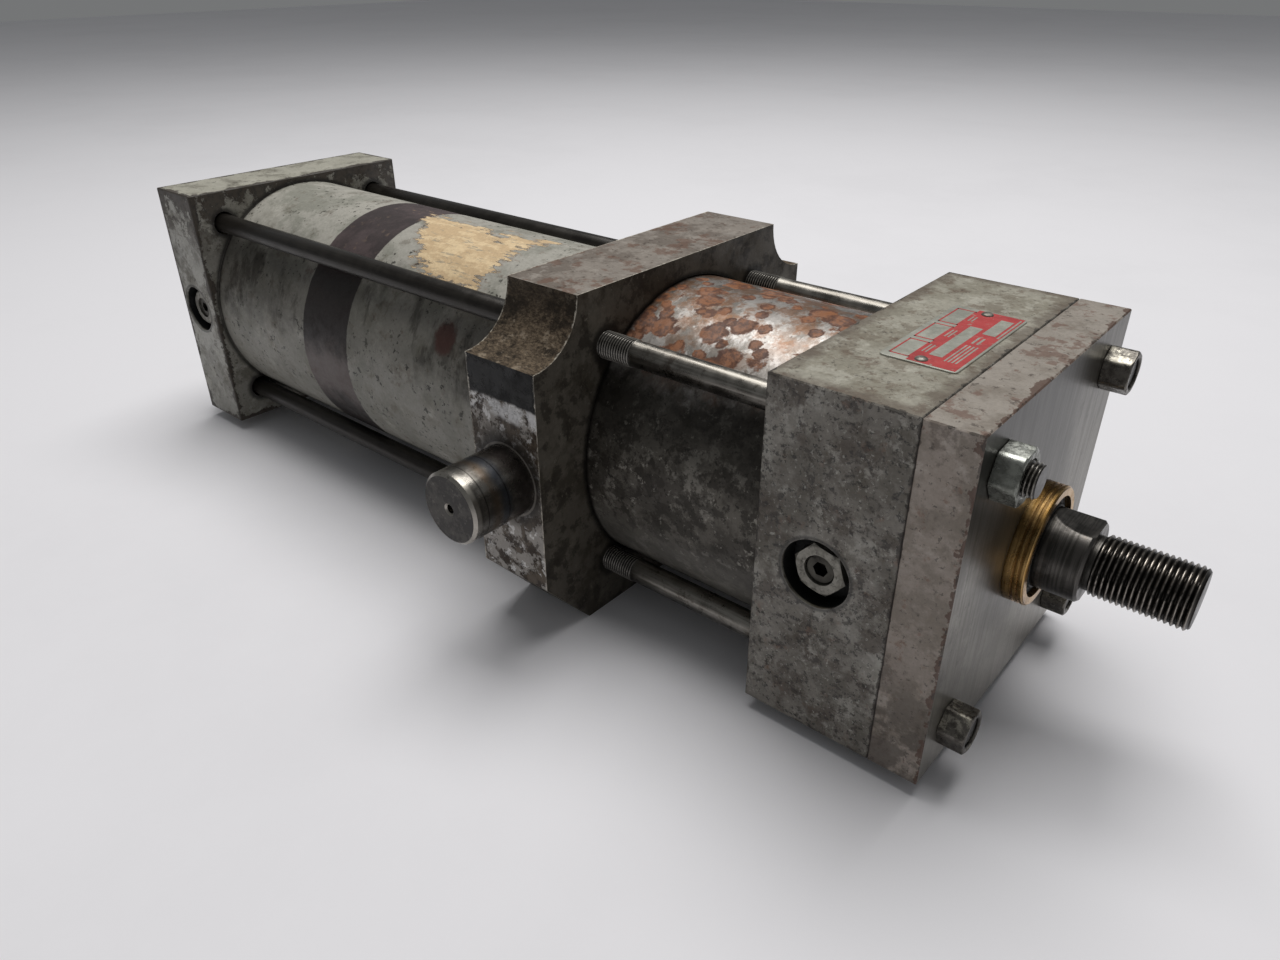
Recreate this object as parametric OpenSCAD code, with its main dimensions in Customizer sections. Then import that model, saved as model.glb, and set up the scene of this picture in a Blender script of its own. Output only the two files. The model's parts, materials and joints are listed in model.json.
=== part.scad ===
// Square-head tie-rod air cylinder with an intermediate trunnion block.
// Origin: centre of the pilot where it leaves the retainer plate's front face.
// +X runs along the rod, out of the cylinder; +Z is up; -Y is the side with the cushion screws.

/* [End plates] */
// Side of the square head, cap and retainer plate
plate_size = 114.3; // [112:0.1:118]
// Thickness of the rear cap
cap_len = 30.2; // [29:0.1:36]
// Thickness of the head
head_len = 44.5; // [44:0.1:50]
// Thickness of the retainer plate
retainer_len = 15.9; // [15:0.1:20]
// Chamfer on the edges of the square plates
plate_chamfer = 0.4; // [0.2:0.1:1]

/* [Barrel] */
// Bore of the barrel
bore_d = 101.6; // [101:0.1:102]
// Outer diameter of the barrel
barrel_od = 107.9; // [107:0.1:108]
// Bare length of barrel between cap and trunnion block
rear_span = 212.5; // [150:0.5:300]
// Bare length of barrel between trunnion block and head
front_span = 71.4; // [50:0.1:120]

/* [Tie rods] */
// Distance of each tie rod from the barrel's axis, sideways and upwards
tie_offset = 42.3; // [42.2:0.1:42.6]
// Plain diameter of a tie rod
tie_shank_d = 8.8; // [8:0.1:9]
// Diameter over the tie-rod threads
tie_thread_d = 9.4; // [9.2:0.1:9.5]
// Hole for a tie rod in a plate
tie_hole_d = 10.8; // [10:0.1:10.8]
// Height of a dark tie-rod nut
dark_nut_h = 8.3; // [7:0.1:9]
// Width across the flats of a dark tie-rod nut
dark_nut_af = 12.7; // [12.5:0.1:14]
// Height of the bright tie-rod nut
bright_nut_h = 7.2; // [6:0.1:9]
// Width across the flats of the bright tie-rod nut
bright_nut_af = 14.3; // [13:0.1:15]

/* [Trunnion block] */
// Length of the block along the barrel
block_len = 31.8; // [30:0.1:38]
// Distance from the axis to the block's top and bottom
block_half_h = 62.3; // [61:0.1:64]
// Distance from the axis to the block's side faces
block_half_w = 75.8; // [74:0.1:80]
// Half width of the block's flat top and bottom
block_flat_half_w = 55.2; // [54:0.1:56]
// Height above the axis where the side faces end in the scallops
upper_ledge_z = 42.1; // [41:0.1:44]
// Depth below the axis where the side faces end in the chamfers
lower_ledge_z = 39; // [37:0.1:42]
// Diameter of a trunnion pin
pin_d = 25.4; // [20:0.1:28]
// Length of a trunnion pin outside the block
pin_len = 25.4; // [20:0.1:40]

/* [Rod] */
// Diameter of the piston rod
rod_d = 25.4; // [25:0.1:25.6]
// Rod shoulder's distance from the retainer plate, rod fully in
shoulder_x = 19; // [18:0.1:30]
// Diameter over the rod-end thread
rod_thread_d = 19; // [18:0.1:19.1]
// Length of the rod-end thread
rod_thread_len = 28.5; // [24:0.1:34]
// Width across the rod's two wrench flats
wrench_af = 22.2; // [21.5:0.1:23]
// Pilot diameter of the bronze bushing
pilot_d = 38.1; // [38:0.1:38.3]
// Length of the pilot in front of the retainer plate
pilot_len = 6.4; // [6:0.1:8]

/* [Cushion screws] */
// Counterbore round a cushion screw
screw_counterbore_d = 22.2; // [21:0.1:23]
// Depth of the hex gland's top below the plate's side face
gland_recess = 2.5; // [2:0.1:3]
// Width across the flats of the hex gland
gland_af = 15; // [14:0.1:16]
// Distance from the head's rear face to its cushion screw
front_screw_offset = 20.5; // [19:0.1:22]
// Distance from the cap's front face to its cushion screw
rear_screw_offset = 16.8; // [15.5:0.1:17]

/* [Ports] */
// Pitch diameter of the half-inch pipe thread in a port
port_d = 19.8; // [18:0.1:20]
// Depth of the port's thread
port_depth = 15; // [12:0.5:16]

/* [Data plate] */
// Length of the data plate, across the head
data_plate_len = 52; // [40:1:60]
// Width of the data plate, along the barrel
data_plate_w = 22.9; // [18:0.1:24]

/* [Hidden] */
$fn = 96;

// Places along X, from the front backwards
retainer_back = -retainer_len;
head_front = retainer_back;
head_back = head_front - head_len;
block_front = head_back - front_span;
block_back = block_front - block_len;
block_mid = (block_front + block_back) / 2;
cap_front = block_back - rear_span;
cap_back = cap_front - cap_len;

half = plate_size / 2;
bore_r = bore_d / 2;
barrel_r = barrel_od / 2;
rod_r = rod_d / 2;
pilot_r = pilot_d / 2;
pin_r = pin_d / 2;
// Least overlap or gap that keeps two faces from coinciding
eps = 0.01;
// How far a cut runs past the surface that it opens
over = 1;
// Radial gap of a sliding fit, and of a screwed or tight fit
slide_gap = 0.05;
fit_gap = 0.02;

// Groove for a barrel end, with a flat gasket at its bottom
groove_depth = 4;
groove_clearance = 0.1;
gasket_t = 1;
block_bore_gap = 0.4;

// Bushing: a body in the head, a shoulder that the retainer plate clamps, a relieved waist and the pilot
bushing_body_r = pilot_r - 0.5;
shoulder_len = 8;
shoulder_r = 25.4;
bushing_body_len = 10.5;
bushing_back = head_front - shoulder_len - bushing_body_len;
waist_r = pilot_r - 0.25;
nose_cut = 0.5;
pilot_groove_w = 0.9;
pilot_groove_depth = 0.6;
pilot_grooves = [2.6, 4.2];
wiper_seat_r = 16.2;
wiper_seat_len = 4.6;
rod_seal_r = 17.2;
rod_seal_len = 6;
rod_seal_x = -14;
o_ring_wire_r = 1.4;
bushing_o_ring_x = bushing_back + 5;

// Cushions
front_cushion_r = 16.6;
front_sleeve_r = 15.9;
front_sleeve_len = 22;
rear_cushion_r = 13.8;
rear_cushion_depth = 22;
spear_r = 12.7;
spear_len = 18;
cushion_seal_w = 4;
cushion_seal_depth = 3.4;
cushion_seal_inset = 3;
cushion_seal_gap = 0.2;
cushion_cut = 2;
spear_floor = 4;
bypass_r = 1.8;
bypass_y = 24;

// Piston
stop_gap = 0.5;
stroke = 279.4;
piston_back = cap_front + stop_gap;
piston_len = rear_span + block_len + front_span - 2 * stop_gap - stroke;
piston_front = piston_back + piston_len;
piston_gap = 0.3;
piston_r = bore_r - piston_gap;
piston_chamfer = 1;
spigot_r = 9.5;
lip_groove_w = 7.5;
lip_groove_r = piston_r - 7;
lip_groove_inset = 2.4;
wear_groove_w = 10;
wear_groove_r = piston_r - 2.5;
ring_gap = 0.3;
piston_o_ring_x = piston_front - 8;

// Wrench flats on the rod
wrench_floor_len = 2.5;
wrench_cutter_r = 36;

// Tie rods and their nuts
tie_seat = 14.5;
tie_hole_in_block_d = 9.5;
tie_end_cut = 0.5;
nut_face_cut = 0.15;
dark_stud_recess = 0.8;
bright_stud_out = 3.1;
rear_stud_out = 2;
corners = [[-1, 1], [1, 1], [-1, -1], [1, -1]];
bright_corner = [-1, 1];
dark_corners = [[1, 1], [-1, -1], [1, -1]];
front_thread_len = 27.9;
nut_thread_len = 12;

// Cushion glands and needles, measured inwards from the plate's side face
gland_hex_h = 5;
gland_body_r = 6.4;
gland_body_len = 11;
gland_hole_r = 4.9;
gland_turn = 12;
gland_seat = gland_recess + gland_hex_h;
needle_head_r = 4.75;
needle_head_top = gland_recess + 0.8;
needle_head_h = 9.5;
needle_shank_r = 3;
needle_groove_depth = 0.8;
needle_groove_w = 1.8;
needle_wire_r = 0.55;
needle_taper = 4;
needle_bore_r = needle_shank_r + 0.4;
needle_bore_end = 35;
needle_seat_end = half - 10;
needle_groove_top = gland_seat + gland_body_len + 1.5;
needle_seat_r = 1.6;
needle_socket_af = 4.3;
needle_socket_depth = 4;
needle_edge_cut = 0.4;
needle_tip = 35.5;
needle_tip_r = 0.5;
front_screw_x = head_back + front_screw_offset;
rear_screw_x = cap_front - rear_screw_offset;

// Ports, on the side away from the cushion screws
head_port_x = head_back + 18.5;
cap_port_x = cap_front - cap_len / 2;
port_passage_r = 6.5;

// Trunnion pins
pin_spigot_r = 11;
pin_spigot_len = 14;
pin_chamfer = 1;
centre_drill_r = 1.6;
centre_drill_depth = 5;
centre_drill_lip = 0.6;
spigot_hole_relief = 0.5;

// Data plate
data_plate_t = 0.5;
data_plate_x = head_front - 4.6 - data_plate_w / 2;
data_plate_y = -1.5;
data_pin_r = 1;
data_pin_head_r = 1.9;
data_pin_inset = 3.2;
data_pin_depth = 4;
data_pin_head_h = 0.85;
data_pin_relief = 0.2;

// Colours
cap_grey = [0.66, 0.65, 0.61];
head_grey = [0.47, 0.44, 0.40];
dark_steel = [0.24, 0.23, 0.21];
bright_steel = [0.62, 0.62, 0.61];
zinc = [0.80, 0.82, 0.80];
bronze = [0.68, 0.50, 0.30];
seal_black = [0.05, 0.05, 0.05];
filled_plastic = [0.16, 0.22, 0.20];
label_red = [0.72, 0.30, 0.28];

// ---- Helpers ----

// Turns children so that their Z axis runs along +X
module along_x(x = 0) translate([x, 0, 0]) rotate([0, 90, 0]) children();

// Solid of revolution about the rod's axis; each point is [radius, x]
module turned(points) along_x() rotate_extrude() polygon(points);

// Ring about the rod's axis
module ring(x0, x1, r_in, r_out) turned([[r_in, x0], [r_out, x0], [r_out, x1], [r_in, x1]]);

// Round bar or hole about the rod's axis
module bar(x0, x1, r) along_x(x0) cylinder(h = x1 - x0, r = r);

// Children at chosen corners of the tie-rod square; each corner is a pair of signs
module at_corners(list) for (c = list) translate([0, c[0] * tie_offset, c[1] * tie_offset]) children();

// Square outline with its corners cut off
module cut_square(w, h, cut) {
    polygon([
        [-w / 2 + cut, -h / 2], [w / 2 - cut, -h / 2], [w / 2, -h / 2 + cut], [w / 2, h / 2 - cut],
        [w / 2 - cut, h / 2], [-w / 2 + cut, h / 2], [-w / 2, h / 2 - cut], [-w / 2, -h / 2 + cut]
    ]);
}

// Square plate between two places on X, every edge chamfered
module square_plate(x0, x1) {
    size = plate_size;
    cut = plate_chamfer;
    thick = x1 - x0;
    translate([(x0 + x1) / 2, 0, 0]) intersection() {
        rotate([0, 90, 0]) linear_extrude(thick, center = true) cut_square(size, size, cut);
        rotate([90, 0, 0]) linear_extrude(size, center = true) cut_square(thick, size, cut);
        linear_extrude(size, center = true) cut_square(thick, size, cut);
    }
}

// Groove that holds a barrel end, open towards the barrel's middle
module barrel_groove(x0, x1) ring(x0, x1, bore_r - groove_clearance, barrel_r + groove_clearance);

// Side hole from a plate's near face (-Y), between two depths
module side_hole(x, from, to, r) {
    translate([x, -half + from, 0]) rotate([-90, 0, 0]) cylinder(h = to - from, r = r);
}

// Counterbore, gland bore and needle bore of a cushion screw
module cushion_screw_holes(x) {
    side_hole(x, -eps, gland_seat, screw_counterbore_d / 2);
    side_hole(x, gland_seat - eps, gland_seat + gland_body_len + over, gland_body_r + fit_gap);
    side_hole(x, gland_seat + gland_body_len, needle_bore_end, needle_bore_r);
    side_hole(x, needle_bore_end - eps, needle_seat_end, needle_seat_r);
}

// Threaded port from the far face (+Y) and its passage to the axis
module port_holes(x) {
    translate([x, half + eps, 0]) rotate([90, 0, 0]) cylinder(h = port_depth + eps, d = port_d);
    translate([x, half, 0]) rotate([90, 0, 0]) cylinder(h = half, r = port_passage_r);
}

// Hex nut with its thread hole and a turned chamfer on its outer corners; its seat is at the origin
module hex_nut(af, h, hole_r) {
    corner_r = af / 2 / cos(30);
    face_r = af / 2 - nut_face_cut;
    rotate([0, 90, 0]) difference() {
        intersection() {
            cylinder(h = h, r = corner_r, $fn = 6);
            cylinder(h = h, r1 = face_r + 2 * h, r2 = face_r);
        }
        translate([0, 0, -over]) cylinder(h = h + 2 * over, r = hole_r);
    }
}

// Threaded-end bar along X with 45-degree chamfers at both ends
module chamfered_bar(x0, x1, r, cut) {
    turned([[0, x0], [r - cut, x0], [r, x0 + cut], [r, x1 - cut], [r - cut, x1], [0, x1]]);
}

// O-ring about the rod's axis
module o_ring(x, centre_r, wire_r) {
    along_x(x) rotate_extrude() translate([centre_r, 0]) circle(wire_r, $fn = 32);
}

// ---- Fixed parts ----

module rear_cap() {
    seal_x = cap_front - cushion_seal_inset;
    color(cap_grey) difference() {
        square_plate(cap_back, cap_front);
        barrel_groove(cap_front - groove_depth, cap_front + over);
        at_corners(corners) bar(cap_back - over, cap_front + over, tie_hole_d / 2);
        bar(cap_front - rear_cushion_depth, cap_front + over, rear_cushion_r);
        bar(seal_x - cushion_seal_w, seal_x, rear_cushion_r + cushion_seal_depth);
        cushion_screw_holes(rear_screw_x);
        translate([0, -bypass_y, 0]) bar(rear_screw_x, cap_front + over, bypass_r);
        port_holes(cap_port_x);
    }
}

module barrel() {
    insert = groove_depth - gasket_t;
    color(cap_grey) ring(cap_front - insert, head_back + insert, bore_r, barrel_r);
}

module trunnion_block() {
    w = block_half_w;
    f = block_flat_half_w;
    drop = block_half_h - upper_ledge_z;
    steps = 12;
    // Quarter of an ellipse from the side face up to the flat top
    scallop = [
        for (i = [0 : steps])
            let (a = 90 * i / steps) [w - (w - f) * sin(a), block_half_h - drop * cos(a)]
    ];
    left_scallop = [for (i = [0 : steps]) [-scallop[steps - i][0], scallop[steps - i][1]]];
    outline = concat(
        [[-w, -lower_ledge_z], [-f, -block_half_h], [f, -block_half_h], [w, -lower_ledge_z]],
        scallop,
        left_scallop
    );
    color(dark_steel) difference() {
        // The outline's first coordinate is Y and its second is Z
        translate([block_back, 0, 0]) rotate([90, 0, 90]) linear_extrude(block_len) polygon(outline);
        bar(block_back - over, block_front + over, barrel_r + block_bore_gap);
        at_corners(corners) bar(block_back - over, block_front + over, tie_hole_in_block_d / 2);
        for (side = [-1, 1])
            translate([block_mid, side * (w + eps), 0]) rotate([side * 90, 0, 0])
                cylinder(h = pin_spigot_len + spigot_hole_relief + eps, r = pin_spigot_r + eps);
    }
}

// Trunnion pin on the side given by its sign; the spigot is pressed into the block
module trunnion_pin(side) {
    tip = block_half_w + pin_len;
    points = [
        [0, block_half_w - pin_spigot_len], [pin_spigot_r, block_half_w - pin_spigot_len],
        [pin_spigot_r, block_half_w], [pin_r, block_half_w], [pin_r, tip - pin_chamfer],
        [pin_r - pin_chamfer, tip],
        [centre_drill_r + centre_drill_lip, tip], [centre_drill_r, tip - centre_drill_lip],
        [centre_drill_r, tip - centre_drill_depth], [0, tip - centre_drill_depth - centre_drill_r]
    ];
    color(bright_steel) translate([block_mid, 0, 0]) rotate([-side * 90, 0, 0])
        rotate_extrude() polygon(points);
}

module near_trunnion_pin() trunnion_pin(-1);

module far_trunnion_pin() trunnion_pin(1);

module head() {
    seal_x = head_back + cushion_seal_inset;
    color(head_grey) difference() {
        square_plate(head_back, head_front);
        barrel_groove(head_back - over, head_back + groove_depth);
        at_corners(corners) bar(head_back - over, head_front + over, tie_hole_d / 2);
        bar(head_front - shoulder_len, head_front + over, shoulder_r + slide_gap);
        bar(bushing_back, head_front, bushing_body_r + slide_gap);
        bar(head_back - over, bushing_back + eps, front_cushion_r);
        bar(seal_x, seal_x + cushion_seal_w, front_cushion_r + cushion_seal_depth);
        cushion_screw_holes(front_screw_x);
        translate([0, -bypass_y, 0]) bar(head_back - over, front_screw_x, bypass_r);
        port_holes(head_port_x);
        data_pin_holes();
    }
}

module retainer_plate() {
    color(head_grey) difference() {
        square_plate(retainer_back, 0);
        bar(retainer_back - over, over, pilot_r + slide_gap);
        at_corners(corners) bar(retainer_back - over, over, tie_hole_d / 2);
    }
}

module rod_bushing() {
    groove_r = pilot_r - pilot_groove_depth;
    o_ring_seat = [bushing_o_ring_x - o_ring_wire_r, bushing_o_ring_x + o_ring_wire_r];
    color(bronze) difference() {
        turned([
            [rod_r + slide_gap, bushing_back], [bushing_body_r, bushing_back],
            [bushing_body_r, head_front - shoulder_len], [shoulder_r, head_front - shoulder_len],
            [shoulder_r, head_front], [waist_r, head_front], [waist_r, 0], [pilot_r, 0],
            [pilot_r, pilot_len - nose_cut], [pilot_r - nose_cut, pilot_len], [rod_r + slide_gap, pilot_len]
        ]);
        for (x = pilot_grooves) ring(x, x + pilot_groove_w, groove_r, pilot_r + over);
        bar(pilot_len - wiper_seat_len, pilot_len + over, wiper_seat_r);
        bar(rod_seal_x - rod_seal_len, rod_seal_x, rod_seal_r);
        ring(o_ring_seat[0], o_ring_seat[1], bushing_body_r - 2 * o_ring_wire_r, bushing_body_r + over);
    }
}

module bushing_o_ring() {
    color(seal_black) o_ring(bushing_o_ring_x, bushing_body_r - o_ring_wire_r, o_ring_wire_r - eps);
}

// U-cup ring whose lips open towards the piston
module rod_seal() {
    back = rod_seal_x - rod_seal_len;
    inner = rod_r + slide_gap;
    mid = (inner + rod_seal_r) / 2;
    notch = 0.5;
    notch_depth = rod_seal_len / 2;
    color(seal_black) turned([
        [inner, back], [mid - notch, back], [mid, back + notch_depth], [mid + notch, back],
        [rod_seal_r, back], [rod_seal_r, rod_seal_x], [inner, rod_seal_x]
    ]);
}

// Wiper ring with a lip that leans outwards on the rod
module rod_wiper() {
    back = pilot_len - wiper_seat_len;
    inner = rod_r + slide_gap;
    front_recess = 0.6;
    front = pilot_len - front_recess;
    lip_len = 1.2;
    lip_t = 0.5;
    heel_gap = 0.6;
    color(seal_black) turned([
        [inner + heel_gap, back], [wiper_seat_r, back], [wiper_seat_r, front - lip_len],
        [inner + lip_len, front - lip_len], [inner + lip_t, front], [inner, front]
    ]);
}

module rear_tie_rods() {
    x0 = cap_back - dark_nut_h - rear_stud_out;
    color(dark_steel) at_corners(corners) {
        chamfered_bar(x0, cap_back + nut_thread_len, tie_thread_d / 2, tie_end_cut);
        bar(cap_back + nut_thread_len - eps, block_back, tie_shank_d / 2);
        chamfered_bar(block_back - eps, block_back + tie_seat, tie_thread_d / 2, tie_end_cut);
    }
}

// One front tie rod; its rear thread runs from inside the block to well in front of it
module front_tie_rod(end_x) {
    thread_back = block_front - tie_seat;
    thread_front = thread_back + front_thread_len;
    chamfered_bar(thread_back, thread_front, tie_thread_d / 2, tie_end_cut);
    bar(thread_front - eps, -nut_thread_len, tie_shank_d / 2);
    chamfered_bar(-nut_thread_len - eps, end_x, tie_thread_d / 2, tie_end_cut);
}

module front_tie_rods() {
    color(bright_steel) {
        at_corners(dark_corners) front_tie_rod(dark_nut_h - dark_stud_recess);
        at_corners([bright_corner]) front_tie_rod(bright_nut_h + bright_stud_out);
    }
}

module rear_tie_rod_nuts() {
    color(dark_steel) at_corners(corners) translate([cap_back, 0, 0]) rotate([0, 0, 180])
        hex_nut(dark_nut_af, dark_nut_h, tie_thread_d / 2);
}

module dark_tie_rod_nuts() {
    // Where each nut stopped when it was tightened
    turns = [-5, 20, 28];
    color(dark_steel) for (i = [0 : len(dark_corners) - 1])
        at_corners([dark_corners[i]]) rotate([turns[i], 0, 0])
            hex_nut(dark_nut_af, dark_nut_h, tie_thread_d / 2);
}

module bright_tie_rod_nut() {
    turn = 35;
    color(zinc) at_corners([bright_corner])
        rotate([turn, 0, 0]) hex_nut(bright_nut_af, bright_nut_h, tie_thread_d / 2);
}

// ---- Moving parts ----

// What a round cutter removes for one wrench flat: a flat floor at the shoulder, then a curved run-out
module wrench_flat_cut() {
    floor_z = wrench_af / 2;
    floor_x = shoulder_x - wrench_floor_len;
    translate([floor_x, -rod_r, floor_z]) cube([wrench_floor_len + eps, rod_d, rod_d]);
    translate([floor_x, rod_r, floor_z + wrench_cutter_r]) rotate([90, 0, 0])
        cylinder(h = rod_d, r = wrench_cutter_r);
}

module piston_rod() {
    tip = shoulder_x + rod_thread_len;
    neck_len = 2;
    thread_r = rod_thread_d / 2;
    end_cut = 1.1;
    neck_r = thread_r - end_cut;
    neck_ramp = 0.6;
    shoulder_cut = 0.8;
    rod_end = piston_back - spear_len + spear_floor;
    rod_end_cut = 0.5;
    color(bright_steel) difference() {
        turned([
            [0, rod_end], [spigot_r - rod_end_cut, rod_end], [spigot_r, rod_end + rod_end_cut],
            [spigot_r, piston_front], [rod_r, piston_front],
            [rod_r, shoulder_x - shoulder_cut], [rod_r - shoulder_cut, shoulder_x],
            [neck_r, shoulder_x], [neck_r, shoulder_x + neck_len - neck_ramp],
            [thread_r, shoulder_x + neck_len], [thread_r, tip - end_cut], [thread_r - end_cut, tip], [0, tip]
        ]);
        wrench_flat_cut();
        mirror([0, 0, 1]) wrench_flat_cut();
    }
}

module piston() {
    wear_x = (piston_back + piston_front - wear_groove_w) / 2;
    rear_lip_x = piston_back + lip_groove_inset;
    front_lip_x = piston_front - lip_groove_inset - lip_groove_w;
    o_ring_back = piston_o_ring_x - o_ring_wire_r;
    o_ring_front = piston_o_ring_x + o_ring_wire_r;
    inner = spigot_r + fit_gap;
    cut = piston_chamfer;
    color(bright_steel) difference() {
        turned([
            [inner, piston_back], [piston_r - cut, piston_back], [piston_r, piston_back + cut],
            [piston_r, piston_front - cut], [piston_r - cut, piston_front], [inner, piston_front]
        ]);
        ring(wear_x, wear_x + wear_groove_w, wear_groove_r, piston_r + over);
        for (x = [rear_lip_x, front_lip_x]) ring(x, x + lip_groove_w, lip_groove_r, piston_r + over);
        bar(o_ring_back, o_ring_front, spigot_r + 2 * o_ring_wire_r);
    }
}

// U-cup ring in a piston groove; dir is the way that its lips open
module piston_lip(x_mid, dir) {
    heel = x_mid - dir * (lip_groove_w / 2 - ring_gap);
    lips = x_mid + dir * (lip_groove_w / 2 - ring_gap);
    inner = lip_groove_r + ring_gap;
    outer = bore_r - slide_gap;
    mid = (inner + outer) / 2;
    notch = 0.7;
    lean = 0.8;
    turned([
        [inner, heel], [outer - lean, heel], [outer, lips],
        [mid + notch, lips], [mid, x_mid], [mid - notch, lips], [inner, lips]
    ]);
}

module piston_seals() {
    reach = lip_groove_inset + lip_groove_w / 2;
    color(seal_black) {
        piston_lip(piston_back + reach, -1);
        piston_lip(piston_front - reach, 1);
    }
}

module piston_wear_ring() {
    x_mid = (piston_back + piston_front) / 2;
    reach = wear_groove_w / 2 - ring_gap;
    color(filled_plastic) ring(x_mid - reach, x_mid + reach, wear_groove_r + ring_gap, bore_r - slide_gap);
}

module piston_o_ring() {
    color(seal_black) o_ring(piston_o_ring_x, spigot_r + o_ring_wire_r, o_ring_wire_r - eps);
}

module front_cushion_sleeve() {
    inner = rod_r + fit_gap;
    x1 = piston_front + front_sleeve_len;
    color(bright_steel) turned([
        [inner, piston_front], [front_sleeve_r, piston_front], [front_sleeve_r, x1 - 2 * cushion_cut],
        [front_sleeve_r - cushion_cut, x1], [inner, x1]
    ]);
}

module rear_cushion_spear() {
    x0 = piston_back - spear_len;
    inner = spigot_r + fit_gap;
    color(bright_steel) turned([
        [0, x0], [spear_r - cushion_cut, x0], [spear_r, x0 + 2 * cushion_cut], [spear_r, piston_back],
        [inner, piston_back], [inner, x0 + spear_floor], [0, x0 + spear_floor]
    ]);
}

// ---- Seals in the end plates ----

// Cushion seal in a groove that starts at x; r is the cushion part's radius
module cushion_seal(x, r, groove_r) {
    gap = cushion_seal_gap;
    ring(x + gap, x + cushion_seal_w - gap, r + gap / 2, groove_r - gap);
}

module front_cushion_seal() {
    x = head_back + cushion_seal_inset;
    color(seal_black) cushion_seal(x, front_sleeve_r, front_cushion_r + cushion_seal_depth);
}

module rear_cushion_seal() {
    x = cap_front - cushion_seal_inset - cushion_seal_w;
    color(seal_black) cushion_seal(x, spear_r, rear_cushion_r + cushion_seal_depth);
}

module front_barrel_gasket() {
    bottom = head_back + groove_depth;
    color(seal_black) ring(bottom - gasket_t, bottom, bore_r, barrel_r);
}

module rear_barrel_gasket() {
    bottom = cap_front - groove_depth;
    color(seal_black) ring(bottom, bottom + gasket_t, bore_r, barrel_r);
}

// ---- Cushion screws ----

// Hex bushing that holds a needle screw
module cushion_gland(x) {
    flat_r = gland_af / 2;
    full_len = gland_hex_h + gland_body_len;
    head_hole_depth = needle_head_h + 2;
    shank_gap = 0.2;
    edge_step = 0.2;
    translate([x, -half, 0]) rotate([-90, 0, 0]) color(bright_steel) difference() {
        union() {
            translate([0, 0, gland_recess]) intersection() {
                rotate([0, 0, gland_turn]) cylinder(h = gland_hex_h, r = flat_r / cos(30), $fn = 6);
                cylinder(h = gland_hex_h, r1 = flat_r + edge_step, r2 = flat_r + 2 * gland_hex_h);
            }
            translate([0, 0, gland_seat - eps]) cylinder(h = gland_body_len + eps, r = gland_body_r);
        }
        translate([0, 0, gland_recess - over]) cylinder(h = head_hole_depth + over, r = gland_hole_r);
        translate([0, 0, gland_recess]) cylinder(h = full_len + over, r = needle_shank_r + shank_gap);
    }
}

module front_cushion_gland() cushion_gland(front_screw_x);

module rear_cushion_gland() cushion_gland(rear_screw_x);

// Needle screw: socketed head, plain shank with an O-ring groove, tapered tip
module cushion_needle(x) {
    head_end = needle_head_top + needle_head_h;
    groove_end = needle_groove_top + needle_groove_w;
    groove_r = needle_shank_r - needle_groove_depth;
    translate([x, -half, 0]) rotate([-90, 0, 0]) color(dark_steel) difference() {
        rotate_extrude() polygon([
            [0, needle_head_top], [needle_head_r - needle_edge_cut, needle_head_top],
            [needle_head_r, needle_head_top + needle_edge_cut],
            [needle_head_r, head_end], [needle_shank_r, head_end],
            [needle_shank_r, needle_groove_top], [groove_r, needle_groove_top],
            [groove_r, groove_end], [needle_shank_r, groove_end],
            [needle_shank_r, needle_tip - needle_taper], [needle_tip_r, needle_tip], [0, needle_tip]
        ]);
        translate([0, 0, needle_head_top - over])
            cylinder(h = needle_socket_depth + over, r = needle_socket_af / 2 / cos(30), $fn = 6);
    }
}

module front_cushion_needle() cushion_needle(front_screw_x);

module rear_cushion_needle() cushion_needle(rear_screw_x);

module needle_o_rings() {
    centre_r = needle_shank_r - needle_groove_depth + fit_gap + needle_wire_r;
    color(seal_black) for (x = [front_screw_x, rear_screw_x])
        translate([x, -half + needle_groove_top + needle_groove_w / 2, 0]) rotate([-90, 0, 0])
            rotate_extrude() translate([centre_r, 0]) circle(needle_wire_r, $fn = 32);
}

// ---- Data plate ----

// Children at the two drive pins, on top of the head
module at_data_pins() {
    reach = data_plate_len / 2 - data_pin_inset;
    for (side = [-1, 1]) translate([data_plate_x, data_plate_y + side * reach, half]) children();
}

module data_pin_holes() {
    depth = data_pin_depth + data_pin_relief;
    at_data_pins() translate([0, 0, -depth]) cylinder(h = depth + over, r = data_pin_r);
}

module data_plate() {
    corner_r = 1.6;
    color(label_red) difference() {
        translate([data_plate_x, data_plate_y, half]) linear_extrude(data_plate_t) union() {
            square([data_plate_w, data_plate_len - 2 * corner_r], center = true);
            square([data_plate_w - 2 * corner_r, data_plate_len], center = true);
            for (sx = [-1, 1], sy = [-1, 1])
                translate([sx * (data_plate_w / 2 - corner_r), sy * (data_plate_len / 2 - corner_r)])
                    circle(corner_r, $fn = 32);
        }
        data_pin_holes();
    }
}

module data_plate_pins() {
    r = data_pin_head_r;
    h = data_pin_head_h;
    color(bright_steel) at_data_pins() {
        translate([0, 0, -data_pin_depth])
            cylinder(h = data_pin_depth + data_plate_t, r = data_pin_r - eps);
        translate([0, 0, data_plate_t]) rotate_extrude()
            polygon(concat([[0, 0]], [for (a = [0 : 15 : 90]) [r * cos(a), h * sin(a)]]));
    }
}

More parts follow.
